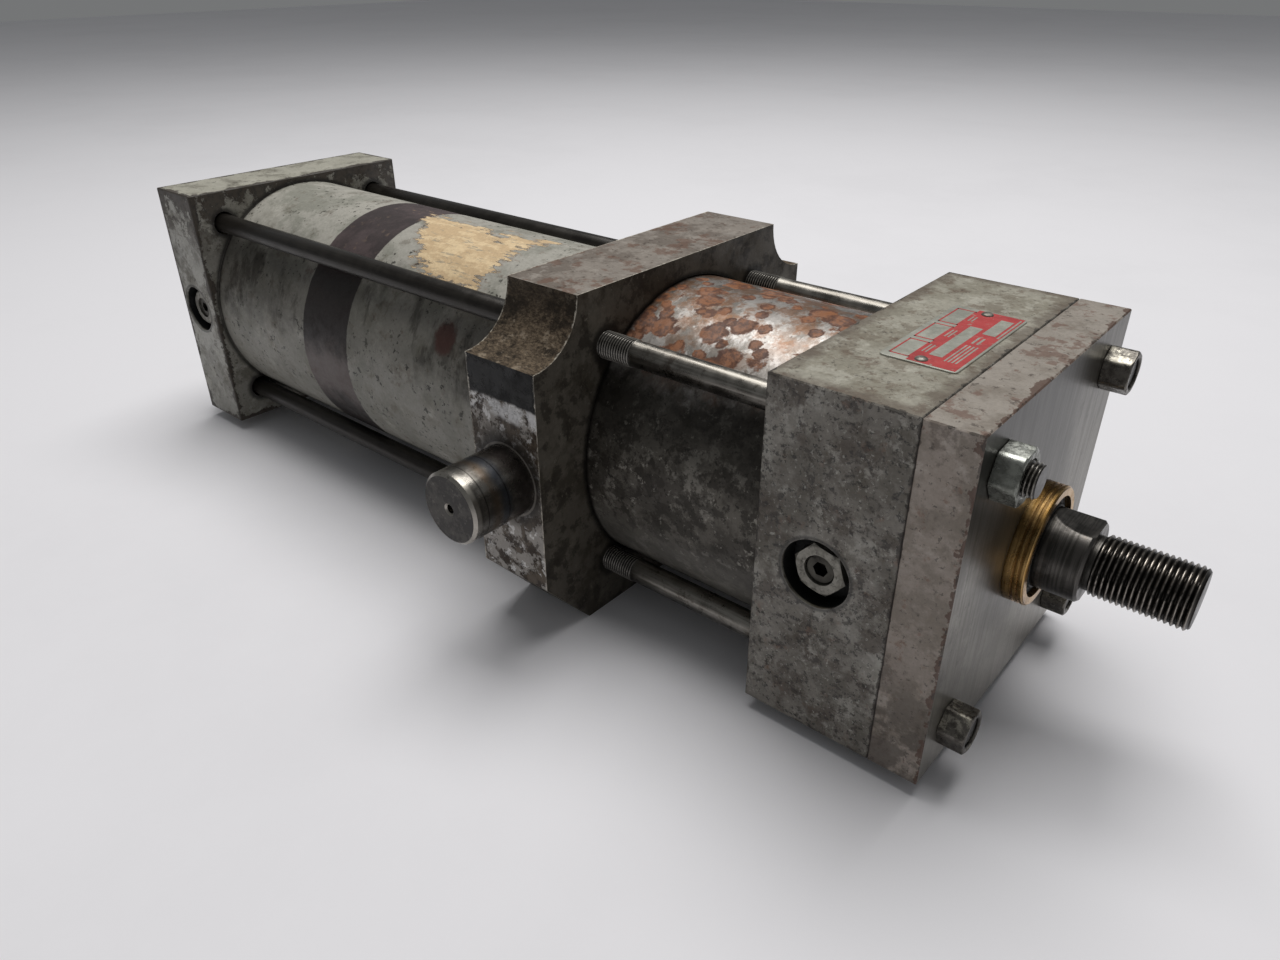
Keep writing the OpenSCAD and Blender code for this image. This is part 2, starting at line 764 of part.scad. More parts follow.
rear_cap();
barrel();
trunnion_block();
near_trunnion_pin();
far_trunnion_pin();
head();
retainer_plate();
rod_bushing();
bushing_o_ring();
rod_seal();
rod_wiper();
rear_tie_rods();
front_tie_rods();
rear_tie_rod_nuts();
dark_tie_rod_nuts();
bright_tie_rod_nut();
piston_rod();
piston();
piston_seals();
piston_wear_ring();
piston_o_ring();
front_cushion_sleeve();
rear_cushion_spear();
front_cushion_seal();
rear_cushion_seal();
front_barrel_gasket();
rear_barrel_gasket();
front_cushion_gland();
rear_cushion_gland();
front_cushion_needle();
rear_cushion_needle();
needle_o_rings();
data_plate();
data_plate_pins();
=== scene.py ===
"""Looks of a weathered tie-rod air cylinder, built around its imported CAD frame.

Everything is in metres, in the frame's own axes: +X along the rod, -Y towards the cushion screws, +Z up.
"""

import json
import math

import bmesh
import bpy
from mathutils import Matrix, Vector


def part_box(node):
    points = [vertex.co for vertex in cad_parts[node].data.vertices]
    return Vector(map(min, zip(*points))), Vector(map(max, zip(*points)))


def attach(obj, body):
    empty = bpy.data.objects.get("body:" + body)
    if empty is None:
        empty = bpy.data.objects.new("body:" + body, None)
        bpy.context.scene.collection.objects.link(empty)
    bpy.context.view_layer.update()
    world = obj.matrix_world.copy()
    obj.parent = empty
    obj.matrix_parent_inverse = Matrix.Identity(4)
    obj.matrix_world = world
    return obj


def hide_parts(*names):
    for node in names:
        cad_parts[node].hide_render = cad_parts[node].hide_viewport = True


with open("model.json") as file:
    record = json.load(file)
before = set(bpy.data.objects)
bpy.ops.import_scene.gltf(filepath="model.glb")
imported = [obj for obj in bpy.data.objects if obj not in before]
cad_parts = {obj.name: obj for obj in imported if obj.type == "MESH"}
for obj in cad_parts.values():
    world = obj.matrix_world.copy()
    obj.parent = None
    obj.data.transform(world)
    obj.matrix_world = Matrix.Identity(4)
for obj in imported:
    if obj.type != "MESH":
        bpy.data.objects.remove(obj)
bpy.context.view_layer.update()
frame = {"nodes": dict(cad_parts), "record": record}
MM = 0.001

# ---- Places taken from the frame ----

HEAD_LOW, HEAD_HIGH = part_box("head")
PLATE_LOW, PLATE_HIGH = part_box("retainer_plate")
CAP_LOW, CAP_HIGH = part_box("rear_cap")
BLOCK_LOW, BLOCK_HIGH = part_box("trunnion_block")
BARREL_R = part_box("barrel")[1].z
PLATE_HALF = HEAD_HIGH.z
BLOCK_MID = (BLOCK_LOW.x + BLOCK_HIGH.x) / 2
ROD_LOW, ROD_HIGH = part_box("piston_rod")
ROD_R = ROD_HIGH.z
FRONT_RODS_LOW, FRONT_RODS_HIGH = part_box("front_tie_rods")
REAR_RODS_LOW, REAR_RODS_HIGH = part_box("rear_tie_rods")
TIE_THREAD_R = 4.7 * MM
TIE_OFFSET = FRONT_RODS_HIGH.z - TIE_THREAD_R
FRONT_SCREW_X = sum(v.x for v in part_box("front_cushion_gland")) / 2
REAR_SCREW_X = sum(v.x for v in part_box("rear_cushion_gland")) / 2
NEAR_PIN_LOW, NEAR_PIN_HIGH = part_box("near_trunnion_pin")
FRONT_THREAD_LEN = 27.9 * MM
THREAD_END_X = FRONT_RODS_LOW.x + FRONT_THREAD_LEN


# ---- Node trees ----

FINE_DETAIL = 11.0
CHIP_EDGE_BOOST = 0.22


def tone(code):
    """Linear colour of an sRGB hex code."""
    parts = [int(code[i:i + 2], 16) / 255 for i in (0, 2, 4)]
    linear = [c / 12.92 if c <= 0.04045 else ((c + 0.055) / 1.055) ** 2.4 for c in parts]
    return (*linear, 1.0)


class Graph:
    """A material's node tree. Each method adds nodes and returns the output socket."""

    def __init__(self, name):
        self.material = bpy.data.materials.new(name)
        self.material.use_nodes = True
        self.tree = self.material.node_tree
        self.shader = self.tree.nodes["Principled BSDF"]
        place = self.add("ShaderNodeTexCoord")
        self.place = place.outputs["Object"]
        self.x, self.y, self.z = self.split(self.place)
        self.nx, self.ny, self.nz = self.split(place.outputs["Normal"])
        self.seed = 0

    def add(self, kind, **settings):
        node = self.tree.nodes.new(kind)
        for key, value in settings.items():
            setattr(node, key, value)
        return node

    def feed(self, socket, value):
        """Links an output to a socket, or sets its constant: a number, a vector or a colour's hex code."""
        if isinstance(value, bpy.types.NodeSocket):
            self.tree.links.new(value, socket)
        elif isinstance(value, str):
            socket.default_value = tone(value)
        else:
            socket.default_value = value

    def split(self, vector):
        node = self.add("ShaderNodeSeparateXYZ")
        self.feed(node.inputs[0], vector)
        return node.outputs

    def math(self, operation, a, b=0.0, c=0.0):
        node = self.add("ShaderNodeMath", operation=operation)
        for socket, value in zip(node.inputs, (a, b, c)):
            self.feed(socket, value)
        return node.outputs[0]

    def plus(self, *values):
        result = values[0]
        for value in values[1:]:
            result = self.math("ADD", result, value)
        return result

    def minus(self, a, b):
        return self.math("SUBTRACT", a, b)

    def times(self, *values):
        result = values[0]
        for value in values[1:]:
            result = self.math("MULTIPLY", result, value)
        return result

    def most(self, a, b):
        return self.math("MAXIMUM", a, b)

    def size_of(self, value):
        return self.math("ABSOLUTE", value)

    def invert(self, value):
        return self.math("SUBTRACT", 1.0, value)

    def step(self, value, low, high):
        """0 below low and 1 above high, smooth between."""
        node = self.add("ShaderNodeMapRange", interpolation_type="SMOOTHSTEP")
        self.feed(node.inputs["Value"], value)
        self.feed(node.inputs["From Min"], low)
        self.feed(node.inputs["From Max"], high)
        return node.outputs[0]

    def under(self, value, low, high):
        """1 below low and 0 above high."""
        return self.invert(self.step(value, low, high))

    def within(self, value, low, high, soft):
        """1 between low and high, fading over soft at each end."""
        rise = self.step(value, low - soft, low + soft)
        return self.minus(rise, self.step(value, high - soft, high + soft))

    def noise(self, size, stretch=(1, 1, 1), detail=8.0, roughness=0.65):
        """Cloudy noise whose blobs are about size metres across; stretch lengthens them along each axis."""
        self.seed += 1
        shift = self.add("ShaderNodeMapping")
        self.feed(shift.inputs["Vector"], self.place)
        shift.inputs["Location"].default_value = (self.seed * 3.7, self.seed * 1.9, self.seed * 5.3)
        shift.inputs["Scale"].default_value = [1 / (size * s) for s in stretch]
        node = self.add("ShaderNodeTexNoise")
        self.feed(node.inputs["Vector"], shift.outputs[0])
        node.inputs["Scale"].default_value = 1.0
        node.inputs["Detail"].default_value = detail
        node.inputs["Roughness"].default_value = roughness
        return node.outputs["Fac"]

    def blotches(self, size, level, soft=0.1, grain=0.7, **options):
        """Where the noise is over a level: 0.5 covers half of the surface. More grain roughens the edges."""
        cloud = self.noise(size, detail=FINE_DETAIL, roughness=grain, **options)
        return self.step(cloud, level, level + soft)

    def spots(self, size, reach):
        """Round spots whose centres are about size apart: (inside a spot, on its rim)."""
        self.seed += 1
        node = self.add("ShaderNodeTexVoronoi")
        shift = self.add("ShaderNodeMapping")
        self.feed(shift.inputs["Vector"], self.place)
        shift.inputs["Location"].default_value = (self.seed * 0.37, self.seed * 0.19, self.seed * 0.53)
        self.feed(node.inputs["Vector"], shift.outputs[0])
        node.inputs["Scale"].default_value = 1 / size
        wobble = self.math("MULTIPLY_ADD", self.noise(size / 3), 0.5, -0.25)
        distance = self.plus(node.outputs["Distance"], wobble)
        inside = self.under(distance, reach - 0.03, reach + 0.03)
        return inside, self.within(distance, reach - 0.1, reach, 0.04)

    def ragged(self, value, size, reach, grain=0.7):
        """The value moved back and forth by about reach, so that a mask made from it has a ragged edge."""
        cloud = self.noise(size, roughness=grain)
        return self.plus(value, self.math("MULTIPLY_ADD", cloud, 4 * reach, -2 * reach))

    def blend(self, a, b, mask):
        node = self.add("ShaderNodeMix", data_type="RGBA")
        self.feed(node.inputs["Factor"], mask)
        self.feed(node.inputs[6], a)
        self.feed(node.inputs[7], b)
        return node.outputs[2]

    def mottled(self, a, b, size, level, soft, **options):
        """Colour a with blotches of colour b."""
        return self.blend(a, b, self.blotches(size, level, soft, **options))

    def mix(self, a, b, mask):
        node = self.add("ShaderNodeMix", data_type="FLOAT")
        self.feed(node.inputs["Factor"], mask)
        self.feed(node.inputs[2], a)
        self.feed(node.inputs[3], b)
        return node.outputs[0]

    def layer(self, colour, other, mask, strength=1.0):
        """Lays another colour over the colour where the mask says, at some strength."""
        return self.blend(colour, other, self.times(mask, strength))

    def stains(self, colour, rows):
        """Lays blotches over a colour. Each row is (colour, size, level, softness, strength)."""
        for other, size, level, soft, strength in rows:
            colour = self.layer(colour, other, self.blotches(size, level, soft), strength)
        return colour

    def shade(self, colour, size, amount):
        """Makes the colour lighter and darker by up to about amount, in blobs of a size."""
        cloud = self.noise(size, detail=FINE_DETAIL, roughness=0.75)
        node = self.add("ShaderNodeHueSaturation")
        self.feed(node.inputs["Value"], self.math("MULTIPLY_ADD", cloud, 4 * amount, 1 - 2 * amount))
        self.feed(node.inputs["Color"], colour)
        return node.outputs[0]

    def edge_distance(self, low, high):
        """Distance from the nearest edge of a box, for a point on the box's surface."""
        a, b, c = [
            self.minus((far - near) / 2, self.size_of(self.minus(value, (near + far) / 2)))
            for value, near, far in zip((self.x, self.y, self.z), low, high)
        ]
        larger = self.most(a, b)
        return self.most(self.math("MINIMUM", a, b), self.math("MINIMUM", larger, c))

    def chips(self, distance, reach, size, level, grain=0.62):
        """Sharp-edged chips in paint, thicker where the distance from an edge is under reach."""
        near = self.under(distance, 0.0, reach)
        cloud = self.noise(size, detail=FINE_DETAIL, roughness=grain)
        cloud = self.plus(cloud, self.times(near, CHIP_EDGE_BOOST))
        return self.step(cloud, level, level + 0.03)

    def radius(self, a, b):
        """Distance from the origin of two coordinates."""
        return self.math("SQRT", self.plus(self.times(a, a), self.times(b, b)))

    def facing(self, value, low=0.85, high=0.97):
        """1 where a part of the surface's normal is over high."""
        return self.step(value, low, high)

    def finish(self, colour, roughness, metallic, bumps=(), specular=0.5):
        """Feeds the shader; each bump is (height socket, depth in metres). Specular is a plain number."""
        self.feed(self.shader.inputs["Base Color"], colour)
        self.feed(self.shader.inputs["Specular IOR Level"], specular)
        self.feed(self.shader.inputs["Roughness"], roughness)
        self.feed(self.shader.inputs["Metallic"], metallic)
        normal = None
        for height, depth in bumps:
            node = self.add("ShaderNodeBump")
            node.inputs["Distance"].default_value = depth
            self.feed(node.inputs["Height"], height)
            if normal:
                self.feed(node.inputs["Normal"], normal)
            normal = node.outputs[0]
        if normal:
            self.feed(self.shader.inputs["Normal"], normal)
        return self.material


# ---- Materials ----

# Marks on the barrel's paint; "around" is measured round the barrel from its top, towards the near side
BAND_BACK = -302.5 * MM
BAND_FRONT = -270 * MM
PATCH_X = -240 * MM
PATCH_AROUND = 18 * MM
PATCH_HALF_LEN = 37 * MM
PATCH_HALF_WIDTH = 19 * MM
PATCH_TAPER = 0.6
PATCH_SLANT = 0.45
STAIN_X = -211 * MM
STAIN_AROUND = 57 * MM
NEAR_CAP = (-330 * MM, -290 * MM)
NEAR_BLOCK = (-225 * MM, -185 * MM)

# The block's side faces: how far out from the middle, where they end above and where the dark strip begins
SIDE_FACE_OUT = 72 * MM
SIDE_TOP = 41 * MM
STRIP_BOTTOM = 29 * MM

SCREW_RECESS_R = 11.1 * MM
SCREW_RECESS_DEPTH = 16 * MM
BARREL_GAP = 1.6 * MM
PIN_R = NEAR_PIN_HIGH.z
PILOT_R = 19.05 * MM
ROD_THREAD_LEN = 26 * MM
ROD_THREAD_R = 9.5 * MM

# A dark for dirt and dark joints that also serves as painted shade in gaps, and a near-black for painted
# shade in holes and gaps
GRIME_AND_SHADE = "1d1a17"
PAINTED_SHADE_BLACK = "080807"


def screw_recess(g, colour, x):
    """Paints shade on the wall and floor of a cushion screw's counterbore in the near side face, with a dark
    ring round its mouth.
    """
    from_axis = g.radius(g.minus(g.x, x), g.z)
    inside = g.under(from_axis, SCREW_RECESS_R, SCREW_RECESS_R + 0.4 * MM)
    below = g.within(g.y, 0.8 * MM - PLATE_HALF, SCREW_RECESS_DEPTH - PLATE_HALF, 0.4 * MM)
    # Painted shade inside the counterbore
    colour = g.layer(colour, PAINTED_SHADE_BLACK, g.times(inside, below))
    ring = g.within(from_axis, SCREW_RECESS_R, SCREW_RECESS_R + 1.1 * MM, 0.5 * MM)
    outside = g.facing(g.times(g.ny, -1.0))
    return g.layer(colour, GRIME_AND_SHADE, g.times(ring, outside), 0.7)


def from_tie_rod(g):
    """Distance from the axis of the nearest tie rod."""
    return g.radius(g.minus(g.size_of(g.y), TIE_OFFSET), g.minus(g.size_of(g.z), TIE_OFFSET))


def tie_hole_rims(g, colour):
    """Dark rings round the four tie-rod holes on a plate's front and rear faces: dirt, and painted shade
    where the rods pass into the plates.
    """
    rim = g.under(g.ragged(from_tie_rod(g), 5 * MM, 0.8 * MM), 6 * MM, 8.5 * MM)
    return g.layer(colour, GRIME_AND_SHADE, g.times(rim, g.facing(g.size_of(g.nx))), 0.85)


def cap_material():
    g = Graph("cap_paint")
    top = g.facing(g.nz)
    front = g.facing(g.nx)
    colour = g.mottled("aba9a2", "8d8b83", 24 * MM, 0.45, 0.1)
    colour = g.blend(colour, "a09d8f", g.times(top, 0.8))
    # The front face is toned darker as painted shade, being turned away from the lamp
    colour = g.blend(colour, "858279", g.times(front, 0.7))
    colour = g.stains(colour, [
        ("5a5549", 13 * MM, 0.50, 0.1, 0.55),
        ("b4b1a6", 9 * MM, 0.54, 0.08, 0.45),
        ("41382e", 4 * MM, 0.57, 0.06, 0.6),
        ("201c18", 1.4 * MM, 0.62, 0.04, 0.6),
    ])
    distance = g.edge_distance(CAP_LOW, CAP_HIGH)
    high = g.step(g.z, 12 * MM, PLATE_HALF)
    along_edges = g.chips(distance, 5 * MM, 9 * MM, 0.64, grain=0.72)
    upper_corner = g.times(high, g.invert(top), g.chips(distance, 26 * MM, 8 * MM, 0.65, grain=0.72))
    chips = g.most(along_edges, upper_corner)
    chip_colour = g.mottled("3f362e", "241f1b", 2.5 * MM, 0.45, 0.2)
    colour = g.layer(colour, chip_colour, chips, 0.92)
    edge = g.under(g.ragged(distance, 3 * MM, 0.35 * MM), 0.3 * MM, 0.8 * MM)
    colour = g.layer(colour, "3a332b", edge, 0.85)
    # Painted shade in the gap round the barrel where it enters the cap
    barrel_gap_shade = g.within(g.radius(g.y, g.z), BARREL_R, BARREL_R + BARREL_GAP, 1.2 * MM)
    colour = g.layer(colour, GRIME_AND_SHADE, g.times(barrel_gap_shade, front))
    colour = tie_hole_rims(g, colour)
    colour = screw_recess(g, colour, REAR_SCREW_X)
    colour = g.shade(colour, 1.4 * MM, 0.22)
    rough = g.mix(0.5, 0.75, g.blotches(8 * MM, 0.42, 0.25))
    return g.finish(colour, rough, 0.0, [(chips, -0.12 * MM), (g.noise(1.2 * MM), 0.06 * MM)])


def paint_behind_block(g, angle, around):
    """Barrel's grey paint, dark band, peeled patch and stains, with painted shade on its side and under the
    tie rod; around is the way round in metres.
    """
    paint = g.mottled("aaa79e", "8f8e84", 30 * MM, 0.45, 0.12)
    # The barrel's side is toned darker as painted shade
    side = g.step(g.ragged(angle, 22 * MM, 0.18), math.radians(38), math.radians(60))
    paint = g.layer(paint, "706e67", side, 0.62)
    paint = g.stains(paint, [
        ("6b675a", 19 * MM, 0.51, 0.16, 0.45),
        ("5a4f40", 10 * MM, 0.56, 0.08, 0.45),
        ("bab7ad", 20 * MM, 0.54, 0.16, 0.45),
        ("5f4339", 7 * MM, 0.62, 0.05, 0.5),
    ])
    # Dark smears under the tie rod: dirt smears laid together with the rod's painted shadow
    shadowed = g.within(g.ragged(angle, 16 * MM, 0.25), math.radians(46), math.radians(80), 0.2)
    smears = g.blotches(24 * MM, 0.47, 0.14, stretch=(0.5, 1.4, 1.4))
    near_cap = g.under(g.x, *NEAR_CAP)
    near_block = g.step(g.x, *NEAR_BLOCK)
    strength = g.mix(g.mix(0.4, 0.85, smears), g.mix(0.65, 1.0, smears), g.most(near_cap, near_block))
    paint = g.layer(paint, "211b13", g.times(shadowed, strength), 0.92)
    specks = g.times(g.blotches(2.4 * MM, 0.585, 0.03, 0.6), g.blotches(18 * MM, 0.49, 0.06))
    paint = g.layer(paint, "211f19", specks, 0.85)
    low_spots = g.times(g.blotches(5 * MM, 0.60, 0.03), g.within(angle, 1.15, 2.0, 0.2))
    paint = g.layer(paint, "2c2a22", low_spots, 0.85)

    wiggle = g.noise(3 * MM, stretch=(1, 3, 3))
    band = g.within(g.math("MULTIPLY_ADD", wiggle, 2 * MM, g.x), BAND_BACK, BAND_FRONT, 0.35 * MM)
    band_colour = g.mottled("4d4142", "372e2f", 20 * MM, 0.42, 0.2)
    band_colour = g.stains(band_colour, [
        ("6a594c", 5 * MM, 0.58, 0.1, 0.7),
        ("8a857a", 2 * MM, 0.66, 0.05, 0.6),
    ])
    # The band is toned darker round its side as painted shade
    band_colour = g.layer(band_colour, "17120f", g.step(angle, 0.65, 0.95), 0.88)
    # The band is lighter low down on its side
    band_low_lighter = g.within(g.ragged(angle, 12 * MM, 0.15), 1.5, 1.9, 0.15)
    band_colour = g.layer(band_colour, "6d6360", band_low_lighter, 0.75)
    paint = g.layer(paint, band_colour, band, 0.98)

    # Cream patch where the paint peeled: its length shrinks and its middle moves forward lower down
    half_length = g.math("MULTIPLY_ADD", around, -PATCH_TAPER, PATCH_HALF_LEN)
    middle = g.math("MULTIPLY_ADD", around, PATCH_SLANT, PATCH_X)
    off_x = g.minus(g.size_of(g.minus(g.x, middle)), half_length)
    off_round = g.minus(g.size_of(g.minus(around, PATCH_AROUND)), PATCH_HALF_WIDTH)
    outline = g.ragged(g.most(off_x, off_round), 17 * MM, 9 * MM)
    torn = g.noise(5 * MM, stretch=(3.5, 0.7, 0.7), roughness=0.7)
    outline = g.math("MULTIPLY_ADD", torn, 46 * MM, g.minus(outline, 22 * MM))
    patch = g.under(outline, -0.3 * MM, 0.4 * MM)
    cream = g.mottled("cdb28c", "e4cba3", 6 * MM, 0.46, 0.12, stretch=(2, 1, 1))
    cream = g.layer(cream, "9f9684", g.blotches(2.2 * MM, 0.57, 0.04, stretch=(4, 0.7, 0.7)), 0.75)
    paint = g.layer(paint, cream, patch)
    rim = g.within(outline, 0.2 * MM, 2.2 * MM, 0.7 * MM)
    paint = g.layer(paint, "8c7365", rim, 0.4)

    from_stain = g.radius(g.minus(g.x, STAIN_X), g.times(g.minus(around, STAIN_AROUND), 0.75))
    stain = g.under(g.ragged(from_stain, 7 * MM, 2.6 * MM), 4.2 * MM, 7 * MM)
    paint = g.layer(paint, "42231c", stain, 0.85)
    return paint, patch


def steel_before_block(g, angle):
    """Bare barrel steel with rust on top and grime below, a painted shadow under the tie rod and a painted
    reflection of the floor underneath.
    """
    steel = g.mottled("b4afaa", "85807a", 16 * MM, 0.46, 0.1, stretch=(1, 2.5, 2.5))
    steel = g.stains(steel, [
        ("dcd9d6", 9 * MM, 0.54, 0.07, 0.6),
        ("7a6352", 12 * MM, 0.51, 0.08, 0.6),
        ("4f3e33", 3 * MM, 0.58, 0.05, 0.55),
    ])
    rust_zone = g.under(g.ragged(g.size_of(g.minus(angle, math.radians(4))), 18 * MM, 0.16), 0.62, 0.92)
    large_spots, large_rims = g.spots(13 * MM, 0.37)
    small_spots, small_rims = g.spots(7 * MM, 0.36)
    spots = g.times(rust_zone, g.most(large_spots, small_spots))
    rims = g.times(rust_zone, g.most(large_rims, small_rims))
    rust_colour = g.mottled("8e5730", "59301c", 5 * MM, 0.46, 0.12)
    film = g.times(g.under(g.size_of(angle), 0.3, 0.65), g.blotches(11 * MM, 0.46, 0.1))
    steel = g.layer(steel, "8d6548", film, 0.7)
    steel = g.layer(steel, rust_colour, spots, 0.85)
    steel = g.layer(steel, "47281a", g.times(rims, g.blotches(5 * MM, 0.44, 0.1)), 0.7)
    low = g.step(g.ragged(g.size_of(angle), 26 * MM, 0.16), math.radians(38), math.radians(54))
    dirt = g.mottled("45413b", "5d5952", 18 * MM, 0.46, 0.1)
    dirt = g.stains(dirt, [
        ("8d8981", 13 * MM, 0.53, 0.07, 0.6),
        ("29251f", 7 * MM, 0.50, 0.06, 0.75),
        ("a19d94", 3 * MM, 0.59, 0.05, 0.6),
        ("191613", 1.6 * MM, 0.57, 0.04, 0.75),
    ])
    # Painted shadow of the tie rod on the lower steel
    rod_shadow = g.within(g.ragged(angle, 14 * MM, 0.1), math.radians(40), math.radians(74), 0.2)
    dirt = g.layer(dirt, "211f1c", rod_shadow, 0.65)
    # The underside is lightened as a painted reflection of the floor
    floor_reflection = g.step(angle, math.radians(98), math.radians(118))
    dirt = g.layer(dirt, "7d7a74", floor_reflection, 0.5)
    sheen = g.times(g.invert(low), g.invert(spots))
    return g.blend(steel, dirt, low), g.most(sheen, g.times(low, 0.5))


def barrel_material():
    g = Graph("barrel_steel")
    front = g.step(g.x, BLOCK_MID - 1 * MM, BLOCK_MID + 1 * MM)
    angle = g.math("ARCTAN2", g.times(g.y, -1.0), g.z)
    paint, patch = paint_behind_block(g, angle, g.times(angle, BARREL_R))
    steel, sheen = steel_before_block(g, angle)
    colour = g.blend(paint, steel, front)
    half_block = BLOCK_HIGH.x - BLOCK_MID
    # Painted shade on the barrel where it goes into the cap, the block and the head
    barrel_end_shade = g.plus(
        g.under(g.size_of(g.minus(g.x, BLOCK_MID)), half_block, half_block + 1.5 * MM),
        g.under(g.x, CAP_HIGH.x, CAP_HIGH.x + 1.5 * MM),
        g.step(g.x, HEAD_LOW.x - 1.5 * MM, HEAD_LOW.x),
    )
    colour = g.layer(colour, GRIME_AND_SHADE, barrel_end_shade, 0.9)
    colour = g.shade(colour, 1.3 * MM, 0.2)
    metal = g.times(front, sheen, 0.8)
    rough = g.mix(g.mix(0.45, 0.7, g.blotches(9 * MM, 0.42, 0.25)), 0.34, metal)
    turned = g.noise(0.5 * MM, stretch=(1, 40, 40), detail=2.0)
    return g.finish(colour, rough, metal, [
        (patch, -0.15 * MM), (turned, 0.012 * MM), (g.noise(2.2 * MM), 0.07 * MM)
    ], specular=0.32)


def block_material():
    g = Graph("block_steel")
    half_len = (BLOCK_HIGH.x - BLOCK_LOW.x) / 2
    top = g.times(g.facing(g.nz, 0.9, 0.98), g.step(g.z, 55 * MM, 58 * MM))
    far_out = g.step(g.size_of(g.y), SIDE_FACE_OUT - 2 * MM, SIDE_FACE_OUT)
    side = g.times(g.facing(g.size_of(g.ny), 0.9, 0.98), far_out)
    on_end = g.facing(g.size_of(g.nx))
    above_side = g.step(g.z, SIDE_TOP - 1 * MM, SIDE_TOP)
    scallop = g.times(g.invert(top), g.invert(side), above_side, g.invert(on_end))

    # End faces and bottom chamfers: dark dirty steel, toned darker still as painted shade from the head
    colour = g.mottled("565149", "413c34", 22 * MM, 0.46, 0.1)
    colour = g.stains(colour, [
        ("625d54", 12 * MM, 0.53, 0.07, 0.6),
        ("241f1a", 8 * MM, 0.51, 0.07, 0.65),
        ("7b766c", 3 * MM, 0.61, 0.05, 0.5),
    ])
    top_colour = g.mottled("8b837b", "736a62", 15 * MM, 0.46, 0.1)
    top_colour = g.stains(top_colour, [
        ("684939", 11 * MM, 0.53, 0.06, 0.6),
        ("a29b93", 7 * MM, 0.54, 0.07, 0.5),
        ("3d332b", 3 * MM, 0.58, 0.05, 0.6),
    ])
    colour = g.blend(colour, top_colour, top)
    rough_cut = g.noise(1 * MM, stretch=(1.8, 1, 1), roughness=0.85, detail=FINE_DETAIL)
    scallop_colour = g.blend("30261d", "877763", g.step(rough_cut, 0.38, 0.66))
    scallop_colour = g.stains(scallop_colour, [
        ("1c160f", 11 * MM, 0.50, 0.09, 0.8),
        ("a89a87", 5 * MM, 0.56, 0.07, 0.5),
    ])
    scallop_top = g.step(g.ragged(g.z, 9 * MM, 3 * MM), 48 * MM, 60 * MM)
    scallop_colour = g.layer(scallop_colour, "2a231b", scallop_top, 0.6)
    colour = g.blend(colour, scallop_colour, scallop)

    # Side faces: a near-black strip, then scraped pale paint that turns to flakes below the pin
    flake_noise = g.noise(8 * MM, detail=FINE_DETAIL, roughness=0.72)
    flakes = g.step(flake_noise, 0.485, 0.51)
    scraped = g.mottled("3a3028", "5f554a", 4 * MM, 0.46, 0.08, stretch=(1, 1, 2))
    side_colour = g.layer(scraped, "a39e98", flakes, 0.85)
    side_colour = g.layer(side_colour, "e2e0de", g.blotches(5 * MM, 0.56, 0.04), 0.8)
    side_colour = g.layer(side_colour, "2b231c", g.blotches(3.5 * MM, 0.56, 0.05), 0.75)
    middle_zone = g.within(g.ragged(g.z, 9 * MM, 3 * MM), -14 * MM, 19 * MM, 5 * MM)
    middle_dirt = g.times(middle_zone, g.blotches(3 * MM, 0.40, 0.1))
    side_colour = g.layer(side_colour, "4d4338", middle_dirt, 0.8)
    below_strip = g.within(g.ragged(g.z, 6 * MM, 1.2 * MM), STRIP_BOTTOM - 6 * MM, STRIP_BOTTOM, 1.6 * MM)
    bare_paint = g.times(below_strip, g.blotches(6 * MM, 0.44, 0.08))
    side_colour = g.layer(side_colour, "dad9d9", bare_paint, 0.85)
    strip = g.step(g.ragged(g.z, 7 * MM, 0.8 * MM), STRIP_BOTTOM - 0.6 * MM, STRIP_BOTTOM + 0.6 * MM)
    strip_colour = g.mottled("0d0d0e", "1a1b1c", 9 * MM, 0.46, 0.1)
    side_colour = g.layer(side_colour, strip_colour, strip, 0.98)
    from_pin = g.radius(g.minus(g.x, BLOCK_MID), g.z)
    pin_dirt = g.under(g.ragged(from_pin, 9 * MM, 1.5 * MM), 13 * MM, 21 * MM)
    side_colour = g.layer(side_colour, "1d1915", pin_dirt, 0.88)
    # Painted highlight round the pin's root
    pin_root_highlight = g.within(from_pin, PIN_R + 0.2 * MM, PIN_R + 1 * MM, 0.2 * MM)
    side_colour = g.layer(side_colour, "8f8a83", pin_root_highlight, 0.6)
    colour = g.blend(colour, side_colour, side)

    # Nicked, shiny edges of the two large faces
    from_face = g.minus(half_len, g.size_of(g.minus(g.x, BLOCK_MID)))
    off_end = g.invert(g.facing(g.size_of(g.nx), 0.8, 0.95))
    rim = g.times(g.under(g.ragged(from_face, 1.8 * MM, 0.9 * MM, 0.8), 0.2 * MM, 0.6 * MM), off_end)
    colour = g.layer(colour, "c4bdb0", rim, g.mix(0.25, 0.9, g.blotches(4 * MM, 0.47, 0.06)))
    # Painted shade in the gap round the barrel where it enters the block
    bore_gap_shade = g.within(g.radius(g.y, g.z), BARREL_R, BARREL_R + BARREL_GAP, 1.1 * MM)
    colour = g.layer(colour, PAINTED_SHADE_BLACK, bore_gap_shade, 0.9)
    colour = tie_hole_rims(g, colour)
    colour = g.shade(colour, 1.3 * MM, 0.2)
    rough = g.mix(0.42, 0.66, g.blotches(10 * MM, 0.42, 0.25))
    return g.finish(colour, g.mix(rough, 0.7, scallop), 0.15, [
        (g.times(side, flakes), 0.12 * MM),
        (g.times(scallop, rough_cut), 0.5 * MM),
        (g.noise(2 * MM), 0.09 * MM),
    ], specular=0.2)


